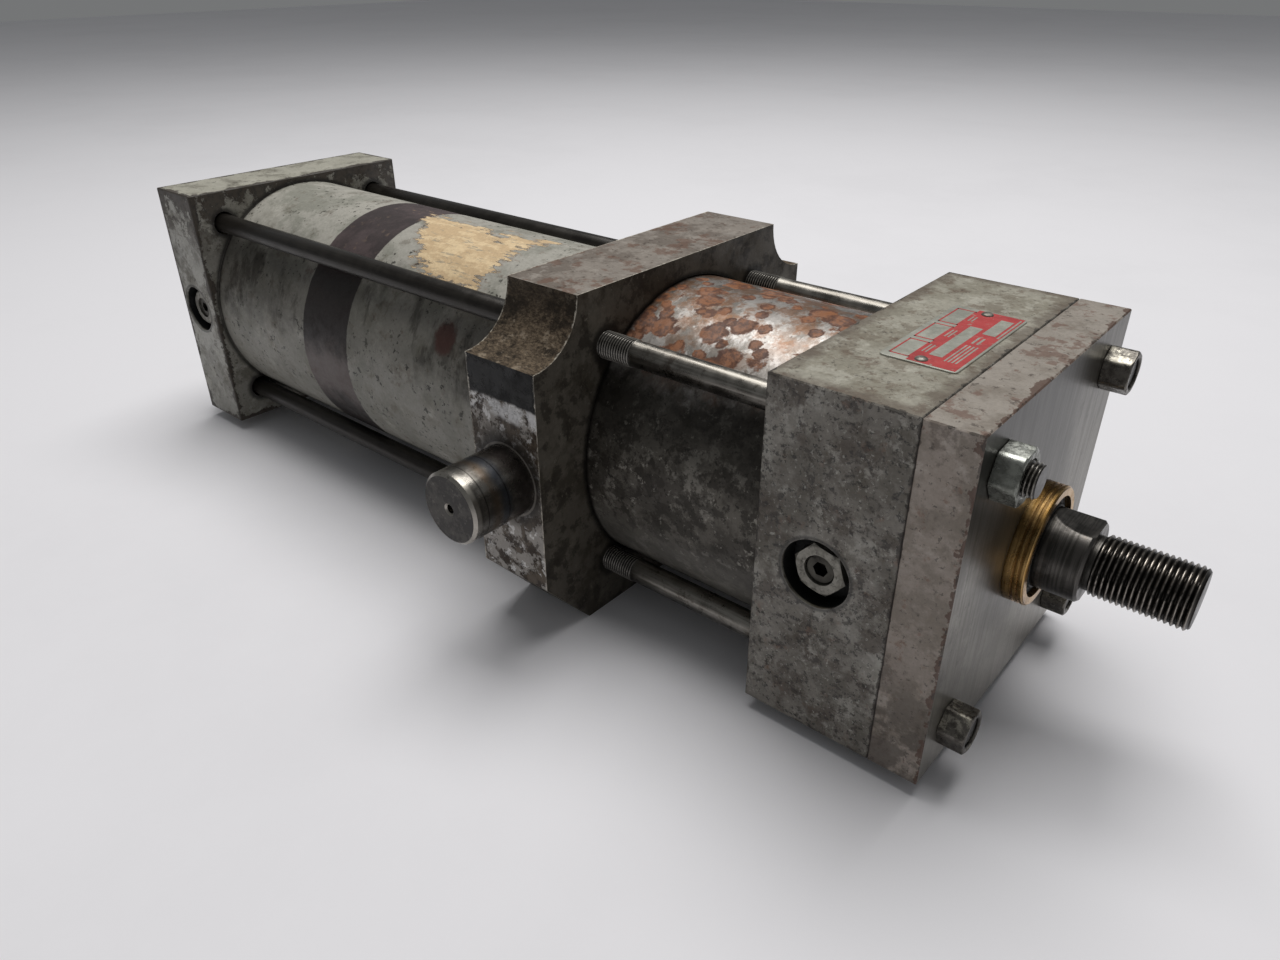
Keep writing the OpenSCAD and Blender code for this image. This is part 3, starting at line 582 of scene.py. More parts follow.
def head_material():
    g = Graph("head_paint")
    top = g.facing(g.nz)
    colour = g.mottled("77726a", "5e5950", 24 * MM, 0.46, 0.1)
    colour = g.stains(colour, [
        ("96938b", 22 * MM, 0.51, 0.14, 0.7),
        ("42372c", 14 * MM, 0.49, 0.12, 0.7),
        ("9f9c94", 8 * MM, 0.55, 0.08, 0.6),
        ("2b231c", 5 * MM, 0.54, 0.06, 0.7),
        ("70503c", 9 * MM, 0.57, 0.1, 0.5),
        ("16130f", 1.6 * MM, 0.555, 0.04, 0.75),
        ("b0aea6", 1.3 * MM, 0.59, 0.04, 0.55),
    ])
    top_colour = g.mottled("9a9689", "868173", 18 * MM, 0.46, 0.1)
    top_colour = g.stains(top_colour, [
        ("695e4f", 12 * MM, 0.52, 0.06, 0.6),
        ("5a4534", 6 * MM, 0.56, 0.05, 0.55),
        ("352b22", 2.4 * MM, 0.59, 0.04, 0.65),
        ("b4b1a5", 9 * MM, 0.55, 0.07, 0.5),
    ])
    distance = g.edge_distance(HEAD_LOW, HEAD_HIGH)
    border = g.under(g.ragged(distance, 11 * MM, 4.5 * MM), 1 * MM, 6 * MM)
    top_colour = g.layer(top_colour, "54463a", border, 0.65)
    colour = g.blend(colour, top_colour, top)
    chips = g.chips(distance, 2.2 * MM, 4 * MM, 0.70)
    colour = g.layer(colour, "2b251f", chips, 0.75)
    seam = g.under(g.size_of(g.minus(g.x, HEAD_HIGH.x)), 0.05 * MM, 0.3 * MM)
    colour = g.layer(colour, GRIME_AND_SHADE, seam, 0.7)
    colour = screw_recess(g, colour, FRONT_SCREW_X)
    colour = g.shade(colour, 1.3 * MM, 0.26)
    rough = g.mix(0.45, 0.7, g.blotches(7 * MM, 0.42, 0.25))
    return g.finish(colour, rough, 0.0, [(chips, -0.06 * MM), (g.noise(1.6 * MM), 0.09 * MM)])


def retainer_material():
    g = Graph("retainer_paint")
    top = g.facing(g.nz)
    front = g.facing(g.nx)
    colour = g.mottled("978c82", "80766b", 20 * MM, 0.46, 0.1)
    colour = g.stains(colour, [
        ("b5aba2", 16 * MM, 0.52, 0.12, 0.6),
        ("584c41", 9 * MM, 0.53, 0.1, 0.65),
        ("29221c", 2 * MM, 0.58, 0.04, 0.65),
        ("74503b", 6 * MM, 0.58, 0.06, 0.5),
    ])
    distance = g.edge_distance(PLATE_LOW, PLATE_HIGH)
    low = g.under(g.z, -45 * MM, -5 * MM)
    colour = g.layer(colour, "453d35", g.times(low, g.blotches(14 * MM, 0.40, 0.1)), 0.7)
    top_colour = g.mottled("958d84", "7f766c", 12 * MM, 0.45, 0.2)
    top_colour = g.stains(top_colour, [
        ("67483a", 7 * MM, 0.55, 0.05, 0.65),
        ("3a2f26", 3 * MM, 0.58, 0.04, 0.65),
    ])
    colour = g.blend(colour, top_colour, top)
    from_front = g.minus(PLATE_HIGH.x, g.x)
    nicks = g.times(g.chips(from_front, 3.2 * MM, 6 * MM, 0.69), g.invert(front))
    colour = g.layer(colour, "503628", nicks, 0.85)
    chips = g.chips(distance, 1.2 * MM, 3.5 * MM, 0.73)
    colour = g.layer(colour, "2f2720", chips, 0.7)
    seam = g.under(g.minus(g.x, PLATE_LOW.x), 0.05 * MM, 0.3 * MM)
    colour = g.layer(colour, GRIME_AND_SHADE, seam, 0.7)

    # Smooth front face with faint vertical brush marks; its top is painted darker as painted shade and its
    # bottom lighter as a painted reflection of the floor
    brushed = g.noise(1.6 * MM, stretch=(1, 1, 16), detail=5.0)
    face = g.blend("807c75", "67635b", g.step(brushed, 0.35, 0.65))
    face = g.stains(face, [
        ("46423a", 24 * MM, 0.50, 0.1, 0.5),
        ("918d85", 13 * MM, 0.56, 0.08, 0.5),
        ("29241e", 4 * MM, 0.60, 0.05, 0.5),
    ])
    from_oil = g.radius(g.plus(g.y, 6 * MM), g.minus(g.z, 8 * MM))
    oil = g.under(g.ragged(from_oil, 14 * MM, 3 * MM), 24 * MM, 42 * MM)
    face = g.layer(face, "24221d", oil, 0.6)
    # Painted shade on the upper part of the front face, less on the far side
    high = g.times(g.step(g.z, 0.0, PLATE_HALF), g.mix(1.0, 0.5, g.step(g.y, 0.0, 40 * MM)))
    face = g.layer(face, "151410", high, 0.88)
    # Painted reflection of the floor, lighter towards the bottom of the front face
    face = g.layer(face, "b0aca4", g.under(g.z, -45 * MM, -10 * MM), 0.4)
    colour = g.blend(colour, face, front)
    colour = g.shade(colour, 1.4 * MM, 0.2)
    face_rough = g.mix(0.26, 0.4, brushed)
    rough = g.mix(g.mix(0.45, 0.7, g.blotches(7 * MM, 0.45, 0.2)), face_rough, front)
    return g.finish(colour, rough, g.times(front, 0.7), [
        (g.times(front, brushed), 0.01 * MM),
        (chips, -0.05 * MM),
        (g.times(g.invert(front), g.noise(1.6 * MM)), 0.07 * MM),
    ])


def drawn_metal(name, bright, dark, rough_low, rough_high, stretch, stains=()):
    """Bare metal with fine lines, long along the axes that stretch names."""
    g = Graph(name)
    lines = g.noise(1 * MM, stretch=stretch, detail=3.0)
    cloud = g.noise(9 * MM)
    colour = g.blend(dark, bright, g.step(g.plus(lines, cloud), 0.75, 1.25))
    colour = g.stains(colour, stains)
    colour = g.shade(colour, 1.5 * MM, 0.12)
    rough = g.mix(rough_low, rough_high, g.step(cloud, 0.35, 0.65))
    return g.finish(colour, rough, 1.0, [(lines, 0.008 * MM), (g.noise(0.8 * MM), 0.008 * MM)])


def tie_rod_material(name, bright, dark, rough_low, rough_high, stain):
    """Drawn steel rod, its thread roots darkened as painted shade."""
    g = Graph(name)
    lines = g.noise(1 * MM, stretch=(30, 1, 1), detail=3.0)
    cloud = g.noise(9 * MM)
    colour = g.blend(dark, bright, g.step(g.plus(lines, cloud), 0.75, 1.25))
    colour = g.stains(colour, [(stain, 5 * MM, 0.56, 0.12, 0.6), ("2a231d", 1.5 * MM, 0.62, 0.06, 0.5)])
    # Painted shade in the thread roots
    root = g.under(from_tie_rod(g), TIE_THREAD_R - 0.35 * MM, TIE_THREAD_R - 0.04 * MM)
    behind_head = g.step(g.x, HEAD_LOW.x - 2 * MM, HEAD_LOW.x)
    on_thread = g.plus(g.under(g.x, THREAD_END_X - 0.6 * MM, THREAD_END_X), behind_head)
    colour = g.layer(colour, "171412", g.times(root, on_thread), 0.93)
    rough = g.mix(rough_low, rough_high, g.step(cloud, 0.35, 0.65))
    metallic = g.mix(1.0, 0.5, on_thread)
    return g.finish(colour, rough, metallic, [(lines, 0.008 * MM), (g.noise(0.8 * MM), 0.008 * MM)])


def pin_material():
    """Turned trunnion pin with ring marks and a heat tint."""
    g = Graph("pin_steel")
    out = g.minus(g.size_of(g.y), BLOCK_HIGH.y)
    length = NEAR_PIN_HIGH.y - NEAR_PIN_LOW.y
    end = g.facing(g.size_of(g.ny))
    cloud = g.noise(8 * MM)
    colour = g.blend("8c8882", "5a5651", g.step(cloud, 0.4, 0.6))
    tint_place = g.ragged(out, 9 * MM, 1.2 * MM)
    colour = g.layer(colour, "43393a", g.within(tint_place, 0, 8 * MM, 2.5 * MM), 0.5)
    colour = g.layer(colour, "4a5566", g.within(tint_place, 10 * MM, 13.5 * MM, 1.5 * MM), 0.5)
    colour = g.layer(colour, "7d6650", g.within(tint_place, 14.5 * MM, 17 * MM, 1.5 * MM), 0.4)
    colour = g.layer(colour, "a8a39b", g.within(out, 22.6 * MM, length, 0.5 * MM), 0.8)
    inner_ring = g.within(out, 10.6 * MM, 11.0 * MM, 0.2 * MM)
    rings = g.most(inner_ring, g.within(out, 19.4 * MM, 19.8 * MM, 0.2 * MM))
    colour = g.layer(colour, "1d1a18", rings, 0.8)
    end_colour = g.mottled("423f3b", "2e2b29", 5 * MM, 0.46, 0.08)
    end_colour = g.layer(end_colour, "66625c", g.blotches(3 * MM, 0.56, 0.05), 0.6)
    colour = g.blend(colour, end_colour, end)
    colour = g.stains(colour, [("26211c", 4 * MM, 0.57, 0.1, 0.6)])
    colour = g.shade(colour, 1.4 * MM, 0.15)
    rough = g.mix(g.mix(0.24, 0.38, g.step(cloud, 0.35, 0.65)), 0.5, end)
    turned = g.noise(0.5 * MM, stretch=(25, 1, 25), detail=2.0)
    return g.finish(colour, rough, g.mix(1.0, 0.6, end), [(turned, 0.012 * MM), (g.noise(1 * MM), 0.02 * MM)])


def bronze_material():
    g = Graph("bronze")
    turned = g.noise(0.5 * MM, stretch=(1, 25, 25), detail=2.0)
    colour = g.blend("bd9a66", "93713f", g.step(turned, 0.4, 0.6))
    colour = g.stains(colour, [
        ("5b4126", 9 * MM, 0.50, 0.16, 0.45),
        ("d9bd86", 7 * MM, 0.57, 0.12, 0.5),
        ("3b2c1d", 2.5 * MM, 0.61, 0.08, 0.3),
    ])
    inset = g.under(g.radius(g.y, g.z), PILOT_R - 0.45 * MM, PILOT_R - 0.15 * MM)
    groove = g.times(inset, g.under(g.nx, 0.7, 0.9))
    colour = g.layer(colour, "4a3520", groove, 0.55)
    root = g.under(g.x, 0.2 * MM, 1.3 * MM)
    colour = g.layer(colour, "2e2418", root, 0.6)
    colour = g.shade(colour, 1.2 * MM, 0.14)
    rough = g.mix(0.26, 0.42, g.blotches(6 * MM, 0.45, 0.2))
    return g.finish(colour, rough, 1.0, [(turned, 0.01 * MM)])


def nut_material(name, base, dark, bright, metallic, worn_and_lit_top):
    """Nut steel, lighter in patches on what faces up, as wear and painted light, so its sides read darker as
    painted shade; with dirt in the thread.
    """
    g = Graph(name)
    colour = g.mottled(base, dark, 3 * MM, 0.42, 0.2)
    # Lighter patches on faces turned up: wear and painted light from above
    up = g.step(g.nz, 0.3, 0.8)
    colour = g.layer(colour, bright, g.times(up, g.blotches(4 * MM, worn_and_lit_top, 0.1)), 0.85)
    colour = g.layer(colour, bright, g.blotches(1.3 * MM, 0.60, 0.05, stretch=(3, 1, 1)), 0.4)
    colour = g.stains(colour, [("2c2721", 2.5 * MM, 0.58, 0.1, 0.6)])
    thread_dirt = g.under(from_tie_rod(g), TIE_THREAD_R, TIE_THREAD_R + 0.6 * MM)
    colour = g.layer(colour, GRIME_AND_SHADE, thread_dirt, 0.8)
    colour = g.shade(colour, 1.1 * MM, 0.2)
    rough = g.mix(0.26, 0.5, g.blotches(2 * MM, 0.42, 0.2))
    return g.finish(colour, rough, metallic, [(g.noise(1.2 * MM), 0.05 * MM)])


def rubber_material():
    g = Graph("seal_rubber")
    colour = g.mottled("141414", "232221", 3 * MM, 0.45, 0.2)
    return g.finish(colour, 0.62, 0.0, [(g.noise(0.4 * MM), 0.01 * MM)])


def plastic_material():
    g = Graph("wear_ring_plastic")
    colour = g.mottled("2b3b36", "1f2c28", 2 * MM, 0.45, 0.2)
    return g.finish(colour, 0.55, 0.0, [(g.noise(0.5 * MM), 0.01 * MM)])


def gland_material():
    g = Graph("gland_steel")
    colour = g.mottled("87847c", "69665e", 3 * MM, 0.42, 0.2)
    colour = g.stains(colour, [
        ("2d2a25", 2.4 * MM, 0.53, 0.1, 0.7),
        ("a6a49c", 2 * MM, 0.58, 0.1, 0.5),
    ])
    colour = g.shade(colour, 0.9 * MM, 0.2)
    rough = g.mix(0.38, 0.6, g.blotches(2 * MM, 0.45, 0.2))
    return g.finish(colour, rough, 0.6, [(g.noise(0.8 * MM), 0.03 * MM)])


def label_material(name, light, dark, metallic, worn):
    """Finish of the data plate's bare metal or of its print."""
    g = Graph(name)
    colour = g.mottled(light, dark, 7 * MM, 0.42, 0.25)
    colour = g.layer(colour, "9c9789", g.blotches(2.2 * MM, worn, 0.08), 0.65)
    colour = g.shade(colour, 0.9 * MM, 0.1)
    rough = g.mix(0.4, 0.6, g.blotches(4 * MM, 0.45, 0.2))
    return g.finish(colour, rough, metallic, [(g.noise(1.5 * MM), 0.015 * MM)])


def rod_material():
    """Piston rod: chrome where it slides in the seals, dark at its end, with bright thread crests and thread
    roots darkened as painted shade.
    """
    g = Graph("rod_steel")
    lines = g.noise(0.7 * MM, stretch=(1, 25, 25), detail=3.0)
    colour = g.blend("5a5754", "42403d", g.step(lines, 0.4, 0.6))
    colour = g.stains(colour, [
        ("201e1c", 9 * MM, 0.48, 0.18, 0.6),
        ("5d4f42", 4 * MM, 0.60, 0.1, 0.4),
    ])
    thread_start = ROD_HIGH.x - ROD_THREAD_LEN
    thread = g.step(g.x, thread_start - 1 * MM, thread_start)
    from_axis = g.radius(g.y, g.z)
    # Thread roots darkened as painted shade
    root = g.under(from_axis, ROD_THREAD_R - 0.9 * MM, ROD_THREAD_R - 0.3 * MM)
    crest = g.step(from_axis, ROD_THREAD_R - 0.4 * MM, ROD_THREAD_R - 0.05 * MM)
    colour = g.layer(colour, "1d1a17", g.times(thread, root), 0.85)
    colour = g.layer(colour, "a39c94", g.times(thread, crest, g.blotches(4 * MM, 0.40, 0.1)), 0.75)
    rough = g.mix(0.3, 0.42, g.blotches(6 * MM, 0.42, 0.2))
    chrome = g.under(g.ragged(g.x, 6 * MM, 0.6 * MM), -1 * MM, 2 * MM)
    colour = g.layer(colour, g.blend("c3c4c6", "a9aaac", g.step(lines, 0.4, 0.6)), chrome)
    return g.finish(colour, g.mix(rough, 0.14, chrome), 0.95, [(lines, 0.008 * MM)])


MATERIALS = {
    "cap_paint": cap_material(),
    "barrel_steel": barrel_material(),
    "block_steel": block_material(),
    "head_paint": head_material(),
    "retainer_paint": retainer_material(),
    "pin_steel": pin_material(),
    "bronze": bronze_material(),
    "seal_rubber": rubber_material(),
    "rear_rod_steel": tie_rod_material("rear_rod_steel", "7d766c", "524c45", 0.28, 0.42, "28231e"),
    "front_rod_steel": tie_rod_material("front_rod_steel", "99958e", "67635d", 0.24, 0.38, "3d3229"),
    "dark_nut_steel": nut_material("dark_nut_steel", "68645e", "45413c", "b5b0a3", 0.7, 0.48),
    "zinc_plate": nut_material("zinc_plate", "84867f", "64655f", "c4c6bf", 0.85, 0.36),
    "rod_steel": rod_material(),
    "piston_metal": drawn_metal("piston_metal", "8e8c88", "6c6a66", 0.3, 0.45, (1, 25, 25)),
    "wear_ring_plastic": plastic_material(),
    "gland_steel": gland_material(),
    "needle_steel": drawn_metal(
        "needle_steel", "57554f", "302e2b", 0.38, 0.52, (25, 1, 25),
        [("1c1a17", 2 * MM, 0.54, 0.1, 0.6)]),
    "data_plate_print": label_material("data_plate_print", "b53c3c", "a03536", 0.0, 0.58),
}
BARE_LABEL = label_material("bare_label", "a9a99f", "97978c", 0.35, 0.56)
SLOT_OF_NODE = {part["node"]: part["material_slot"] for part in frame["record"]["subparts"]}

for node_name, node_object in frame["nodes"].items():
    node_object.data.materials.clear()
    node_object.data.materials.append(MATERIALS[SLOT_OF_NODE[node_name]])


# ---- Mesh tools ----

SHARP_ANGLE = math.radians(32)
RIDGE_SLOPE = 2.3


def make_piece(name, vertices, faces, slot, body, node=None, material=None):
    """A finished mesh object that rides on a body and may stand for a CAD node.

    It takes its slot's material unless it is given another.
    """
    mesh = bpy.data.meshes.new(name)
    mesh.from_pydata(vertices, [], faces)
    tidy = bmesh.new()
    tidy.from_mesh(mesh)
    bmesh.ops.recalc_face_normals(tidy, faces=tidy.faces)
    tidy.to_mesh(mesh)
    tidy.free()
    for polygon in mesh.polygons:
        polygon.use_smooth = True
    mesh.set_sharp_from_angle(angle=SHARP_ANGLE)
    mesh.materials.append(material or MATERIALS[slot])
    piece = bpy.data.objects.new(name, mesh)
    bpy.context.scene.collection.objects.link(piece)
    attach(piece, body)
    if node:
        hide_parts(node)
    return piece


def lofted(rows, around):
    """Vertices and faces of a closed solid through rows of rings, each a list of around points."""
    vertices = [point for row in rows for point in row]
    faces = []
    for i in range(len(rows) - 1):
        for j in range(around):
            k = (j + 1) % around
            a, b = i * around, (i + 1) * around
            faces.append((a + j, a + k, b + k, b + j))
    faces.append(tuple(range(around)))
    last = (len(rows) - 1) * around
    faces.append(tuple(last + j for j in range(around)))
    return vertices, faces


def joined(solids):
    """One vertex and face list from several."""
    vertices, faces = [], []
    for some_vertices, some_faces in solids:
        start = len(vertices)
        vertices += some_vertices
        faces += [tuple(start + i for i in face) for face in some_faces]
    return vertices, faces


def thread_ridge(x, turn, pitch):
    """Height of a thread, from 0 at the root to 1 at the crest; turn is the angle as a part of one turn."""
    phase = (x / pitch - turn) % 1.0
    return min(1.0, RIDGE_SLOPE * (0.5 - abs(phase - 0.5)))


def threaded_bar(profile, threads, centre=(0, 0), around=48, flat_at=None):
    """Round bar along X. profile lists (x, radius) corners, threads lists (x0, x1, pitch, depth).

    flat_at(x) gives the height of a pair of flats above and below the axis, or None.
    """
    rows = []
    for (x0, r0), (x1, r1) in zip(profile, profile[1:]):
        fine = [t for t in threads if t[0] <= (x0 + x1) / 2 <= t[1]]
        if fine:
            count = max(1, math.ceil((x1 - x0) / (fine[0][2] / 8)))
        elif flat_at and flat_at((x0 + x1) / 2):
            count = max(1, math.ceil((x1 - x0) / (0.5 * MM)))
        else:
            count = 1
        for i in range(count):
            part = i / count
            rows.append((x0 + (x1 - x0) * part, r0 + (r1 - r0) * part))
    rows.append(profile[-1])
    rings = []
    for x, limit in rows:
        thread = next((t for t in threads if t[0] <= x <= t[1]), None)
        flat = flat_at(x) if flat_at else None
        ring = []
        for j in range(around):
            turn = j / around
            angle = 2 * math.pi * turn
            r = limit
            if thread:
                _, _, pitch, depth = thread
                crest = max(point[1] for point in profile if thread[0] <= point[0] <= thread[1])
                r = min(r, crest - depth * (1 - thread_ridge(x, turn, pitch)))
            if flat:
                r = min(r, flat / max(abs(math.cos(angle)), 0.01))
            ring.append((x, centre[0] + r * math.sin(angle), centre[1] + r * math.cos(angle)))
        rings.append(ring)
    return lofted(rings, around)


def hex_nut(af, height, hole_r, x0, direction, centre, turn):
    """Hex nut on an axis along X with a chamfered outer face, a countersunk hole and worn corners."""
    around = 72
    face_r = af / 2 - 0.15 * MM
    corner_r = af / 2 / math.cos(math.radians(30)) - 0.3 * MM
    chamfer = 1.5 * MM
    chamfer_steps = 6
    back_cut = 0.25 * MM
    top = [height - chamfer + chamfer * i / chamfer_steps for i in range(chamfer_steps + 1)]
    levels = [(0.0, back_cut), (back_cut, 0.0)] + [(z, 0.0) for z in top]
    rings = []

    def ring(z, radius_at):
        points = []
        for j in range(around):
            angle = 2 * math.pi * j / around
            r = radius_at(angle)
            y = centre[0] + r * math.cos(angle + turn)
            points.append((x0 + direction * z, y, centre[1] + r * math.sin(angle + turn)))
        return points

    def hex_r(angle):
        off_flat = (angle + math.radians(30)) % math.radians(60) - math.radians(30)
        return min(af / 2 / math.cos(math.radians(30) - abs(off_flat)), corner_r)

    rings.append(ring(0.0, lambda a: hole_r))
    for z, inset in levels:
        cone = face_r + 2 * (height - z)
        rings.append(ring(z, lambda a: min(hex_r(a) - inset, cone)))
    rings.append(ring(height, lambda a: hole_r + 0.6 * MM))
    rings.append(ring(height - 0.5 * MM, lambda a: hole_r))
    vertices = [point for row in rings for point in row]
    faces = []
    for i in range(len(rings)):
        a, b = i * around, (i + 1) % len(rings) * around
        for j in range(around):
            k = (j + 1) % around
            faces.append((a + j, a + k, b + k, b + j))
    return vertices, faces


# ---- Tie rods and nuts ----

CORNERS = [(side * TIE_OFFSET, level * TIE_OFFSET) for level in (1, -1) for side in (-1, 1)]
TIE_SHANK_R = 4.4 * MM
TIE_PITCH = 25.4 * MM / 24
TIE_THREAD_DEPTH = 0.62 * MM
TIE_END_CUT = 0.5 * MM
NUT_THREAD_LEN = 12 * MM
DARK_ROD_END = 7.5 * MM


def tie_rod(x0, x1, first_thread, last_thread, centre):
    """One tie rod between x0 and x1, threaded for some length at each end."""
    inner0 = x0 + first_thread
    inner1 = x1 - last_thread
    profile = [
        (x0, TIE_THREAD_R - TIE_END_CUT), (x0 + TIE_END_CUT, TIE_THREAD_R),
        (inner0 - TIE_END_CUT, TIE_THREAD_R), (inner0, TIE_SHANK_R),
        (inner1, TIE_SHANK_R), (inner1 + TIE_END_CUT, TIE_THREAD_R),
        (x1 - TIE_END_CUT, TIE_THREAD_R), (x1, TIE_THREAD_R - TIE_END_CUT),
    ]
    threads = [
        (x0, inner0 - TIE_END_CUT, TIE_PITCH, TIE_THREAD_DEPTH),
        (inner1 + TIE_END_CUT, x1, TIE_PITCH, TIE_THREAD_DEPTH),
    ]
    return threaded_bar(profile, threads, centre)


front_rods = []
for i, corner in enumerate(CORNERS):
    end = FRONT_RODS_HIGH.x if i == 0 else DARK_ROD_END
    front_rods.append(tie_rod(FRONT_RODS_LOW.x, end, FRONT_THREAD_LEN, NUT_THREAD_LEN + end, corner))
make_piece("polished_tie_rods", *joined(front_rods), "front_rod_steel", "cylinder_body", "front_tie_rods")

rear_thread_len = CAP_LOW.x + NUT_THREAD_LEN - REAR_RODS_LOW.x
block_thread_len = REAR_RODS_HIGH.x - BLOCK_LOW.x
rear_rods = [
    tie_rod(REAR_RODS_LOW.x, REAR_RODS_HIGH.x, rear_thread_len, block_thread_len, corner)
    for corner in CORNERS
]
make_piece("dull_tie_rods", *joined(rear_rods), "rear_rod_steel", "cylinder_body", "rear_tie_rods")

DARK_AF = 12.7 * MM
DARK_H = 8.3 * MM
BRIGHT_AF = 14.3 * MM
BRIGHT_H = 7.2 * MM
DARK_TURNS = [-5, 20, 28]
BRIGHT_TURN = 35
FLAT_UP = 90

dark_nuts = []
for corner, turn in zip(CORNERS[1:], DARK_TURNS):
    angle = math.radians(FLAT_UP + turn)
    dark_nuts.append(hex_nut(DARK_AF, DARK_H, TIE_THREAD_R, 0.0, 1, corner, angle))
make_piece("worn_dark_nuts", *joined(dark_nuts), "dark_nut_steel", "cylinder_body", "dark_tie_rod_nuts")

bright_angle = math.radians(FLAT_UP + BRIGHT_TURN)
bright_nut = hex_nut(BRIGHT_AF, BRIGHT_H, TIE_THREAD_R, 0.0, 1, CORNERS[0], bright_angle)
make_piece("plated_nut", *bright_nut, "zinc_plate", "cylinder_body", "bright_tie_rod_nut")

rear_nuts = [
    hex_nut(DARK_AF, DARK_H, TIE_THREAD_R, CAP_LOW.x, -1, corner, math.radians(FLAT_UP))
    for corner in CORNERS
]
make_piece("worn_rear_nuts", *joined(rear_nuts), "dark_nut_steel", "cylinder_body", "rear_tie_rod_nuts")


# ---- Piston rod ----

SPIGOT_R = 9.5 * MM
SPIGOT_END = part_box("piston")[1].x
SHOULDER_X = 19 * MM
SHOULDER_CUT = 0.8 * MM
ROD_THREAD_CUT = 1.1 * MM
NECK_LEN = 2 * MM
NECK_RAMP = 0.6 * MM
ROD_PITCH = 25.4 * MM / 16
ROD_THREAD_DEPTH = 0.95 * MM
ROD_END_CUT = 0.5 * MM
WRENCH_HALF = 11.1 * MM
WRENCH_FLOOR_X = SHOULDER_X - 2.5 * MM
WRENCH_CUTTER_R = 36 * MM


def wrench_flat(x):
    """Height of the wrench flats at x: flat near the shoulder, with a curved run-out behind."""
    back = WRENCH_FLOOR_X - x
    if x > SHOULDER_X or back > WRENCH_CUTTER_R / 2:
        return None
    if back <= 0:
        return WRENCH_HALF
    return WRENCH_HALF + WRENCH_CUTTER_R - math.sqrt(WRENCH_CUTTER_R ** 2 - back ** 2)


neck_r = ROD_THREAD_R - ROD_THREAD_CUT
rod_profile = [
    (ROD_LOW.x, SPIGOT_R - ROD_END_CUT), (ROD_LOW.x + ROD_END_CUT, SPIGOT_R), (SPIGOT_END, SPIGOT_R),
    (SPIGOT_END, ROD_R), (WRENCH_FLOOR_X - WRENCH_CUTTER_R / 2, ROD_R),
    (SHOULDER_X - SHOULDER_CUT, ROD_R), (SHOULDER_X, ROD_R - SHOULDER_CUT),
    (SHOULDER_X, neck_r), (SHOULDER_X + NECK_LEN - NECK_RAMP, neck_r), (SHOULDER_X + NECK_LEN, ROD_THREAD_R),
    (ROD_HIGH.x - ROD_THREAD_CUT, ROD_THREAD_R), (ROD_HIGH.x, ROD_THREAD_R - ROD_THREAD_CUT),
]
rod_thread = (SHOULDER_X + NECK_LEN, ROD_HIGH.x, ROD_PITCH, ROD_THREAD_DEPTH)
rod_mesh = threaded_bar(rod_profile, [rod_thread], around=144, flat_at=wrench_flat)
make_piece("threaded_piston_rod", *rod_mesh, "rod_steel", "rod_and_piston", "piston_rod")


# ---- Data plate ----

LABEL_LOW, LABEL_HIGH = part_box("data_plate")
PRINT_T = 0.03 * MM
PRINT_EDGE = 0.7 * MM
LABEL_CORNER_R = 1.6 * MM
LABEL_SOFT_EDGE = 0.15 * MM


def box_mesh(x0, x1, y0, y1, z0, z1):
    """Closed box as vertices and faces."""
    vertices = [(x, y, z) for x in (x0, x1) for y in (y0, y1) for z in (z0, z1)]
    faces = [(0, 1, 3, 2), (4, 6, 7, 5), (0, 4, 5, 1), (2, 3, 7, 6), (0, 2, 6, 4), (1, 5, 7, 3)]
    return vertices, faces


def rounded_plate(low, high, corner_r, edge):
    """Thin plate with rounded corners and a softened top edge."""
    outline = []
    steps = 8
    quarter_centres = [
        (high.x - corner_r, high.y - corner_r, 0), (low.x + corner_r, high.y - corner_r, 90),
        (low.x + corner_r, low.y + corner_r, 180), (high.x - corner_r, low.y + corner_r, 270),
    ]
    for cx, cy, start in quarter_centres:
        for i in range(steps + 1):
            angle = math.radians(start + 90 * i / steps)
            outline.append((cx, cy, math.cos(angle), math.sin(angle)))
    levels = [
        (low.z, corner_r), (high.z - edge, corner_r),
        (high.z - edge * 0.3, corner_r - edge * 0.3), (high.z, corner_r - edge),
    ]
    rows = [[(cx + r * c, cy + r * s, z) for cx, cy, c, s in outline] for z, r in levels]
    return lofted(rows, len(outline))


label_mesh = rounded_plate(LABEL_LOW, LABEL_HIGH, LABEL_CORNER_R, LABEL_SOFT_EDGE)
make_piece("data_plate_metal", *label_mesh, "data_plate_print", "cylinder_body", "data_plate", BARE_LABEL)


def label_rect(u0, u1, v0, v1, height):
    """Rectangle on the plate: u goes from its rear edge to its front one, v along it; height in layers."""
    width = LABEL_HIGH.x - LABEL_LOW.x - 2 * PRINT_EDGE
    length = LABEL_HIGH.y - LABEL_LOW.y - 2 * PRINT_EDGE
    x = [LABEL_LOW.x + PRINT_EDGE + width * u for u in (u0, u1)]
    y = [LABEL_LOW.y + PRINT_EDGE + length * v for v in (v0, v1)]
    return box_mesh(x[0], x[1], y[0], y[1], LABEL_HIGH.z - PRINT_T, LABEL_HIGH.z + height * PRINT_T)


def printed_frame(u0, u1, v0, v1):
    """Thin printed lines round a field."""
    u_line, v_line = 0.025, 0.012
    return [
        label_rect(u0, u1, v0, v0 + v_line, 1), label_rect(u0, u1, v1 - v_line, v1, 1),
        label_rect(u0, u0 + u_line, v0, v1, 1), label_rect(u1 - u_line, u1, v0, v1, 1),
    ]


def bare_dashes(u0, u1, v0, v1, count):
    """A plain row of thin bare stripes on the print."""
    pitch = (u1 - u0) / count
    return [label_rect(u0 + i * pitch, u0 + (i + 0.45) * pitch, v0, v1, 2) for i in range(count)]


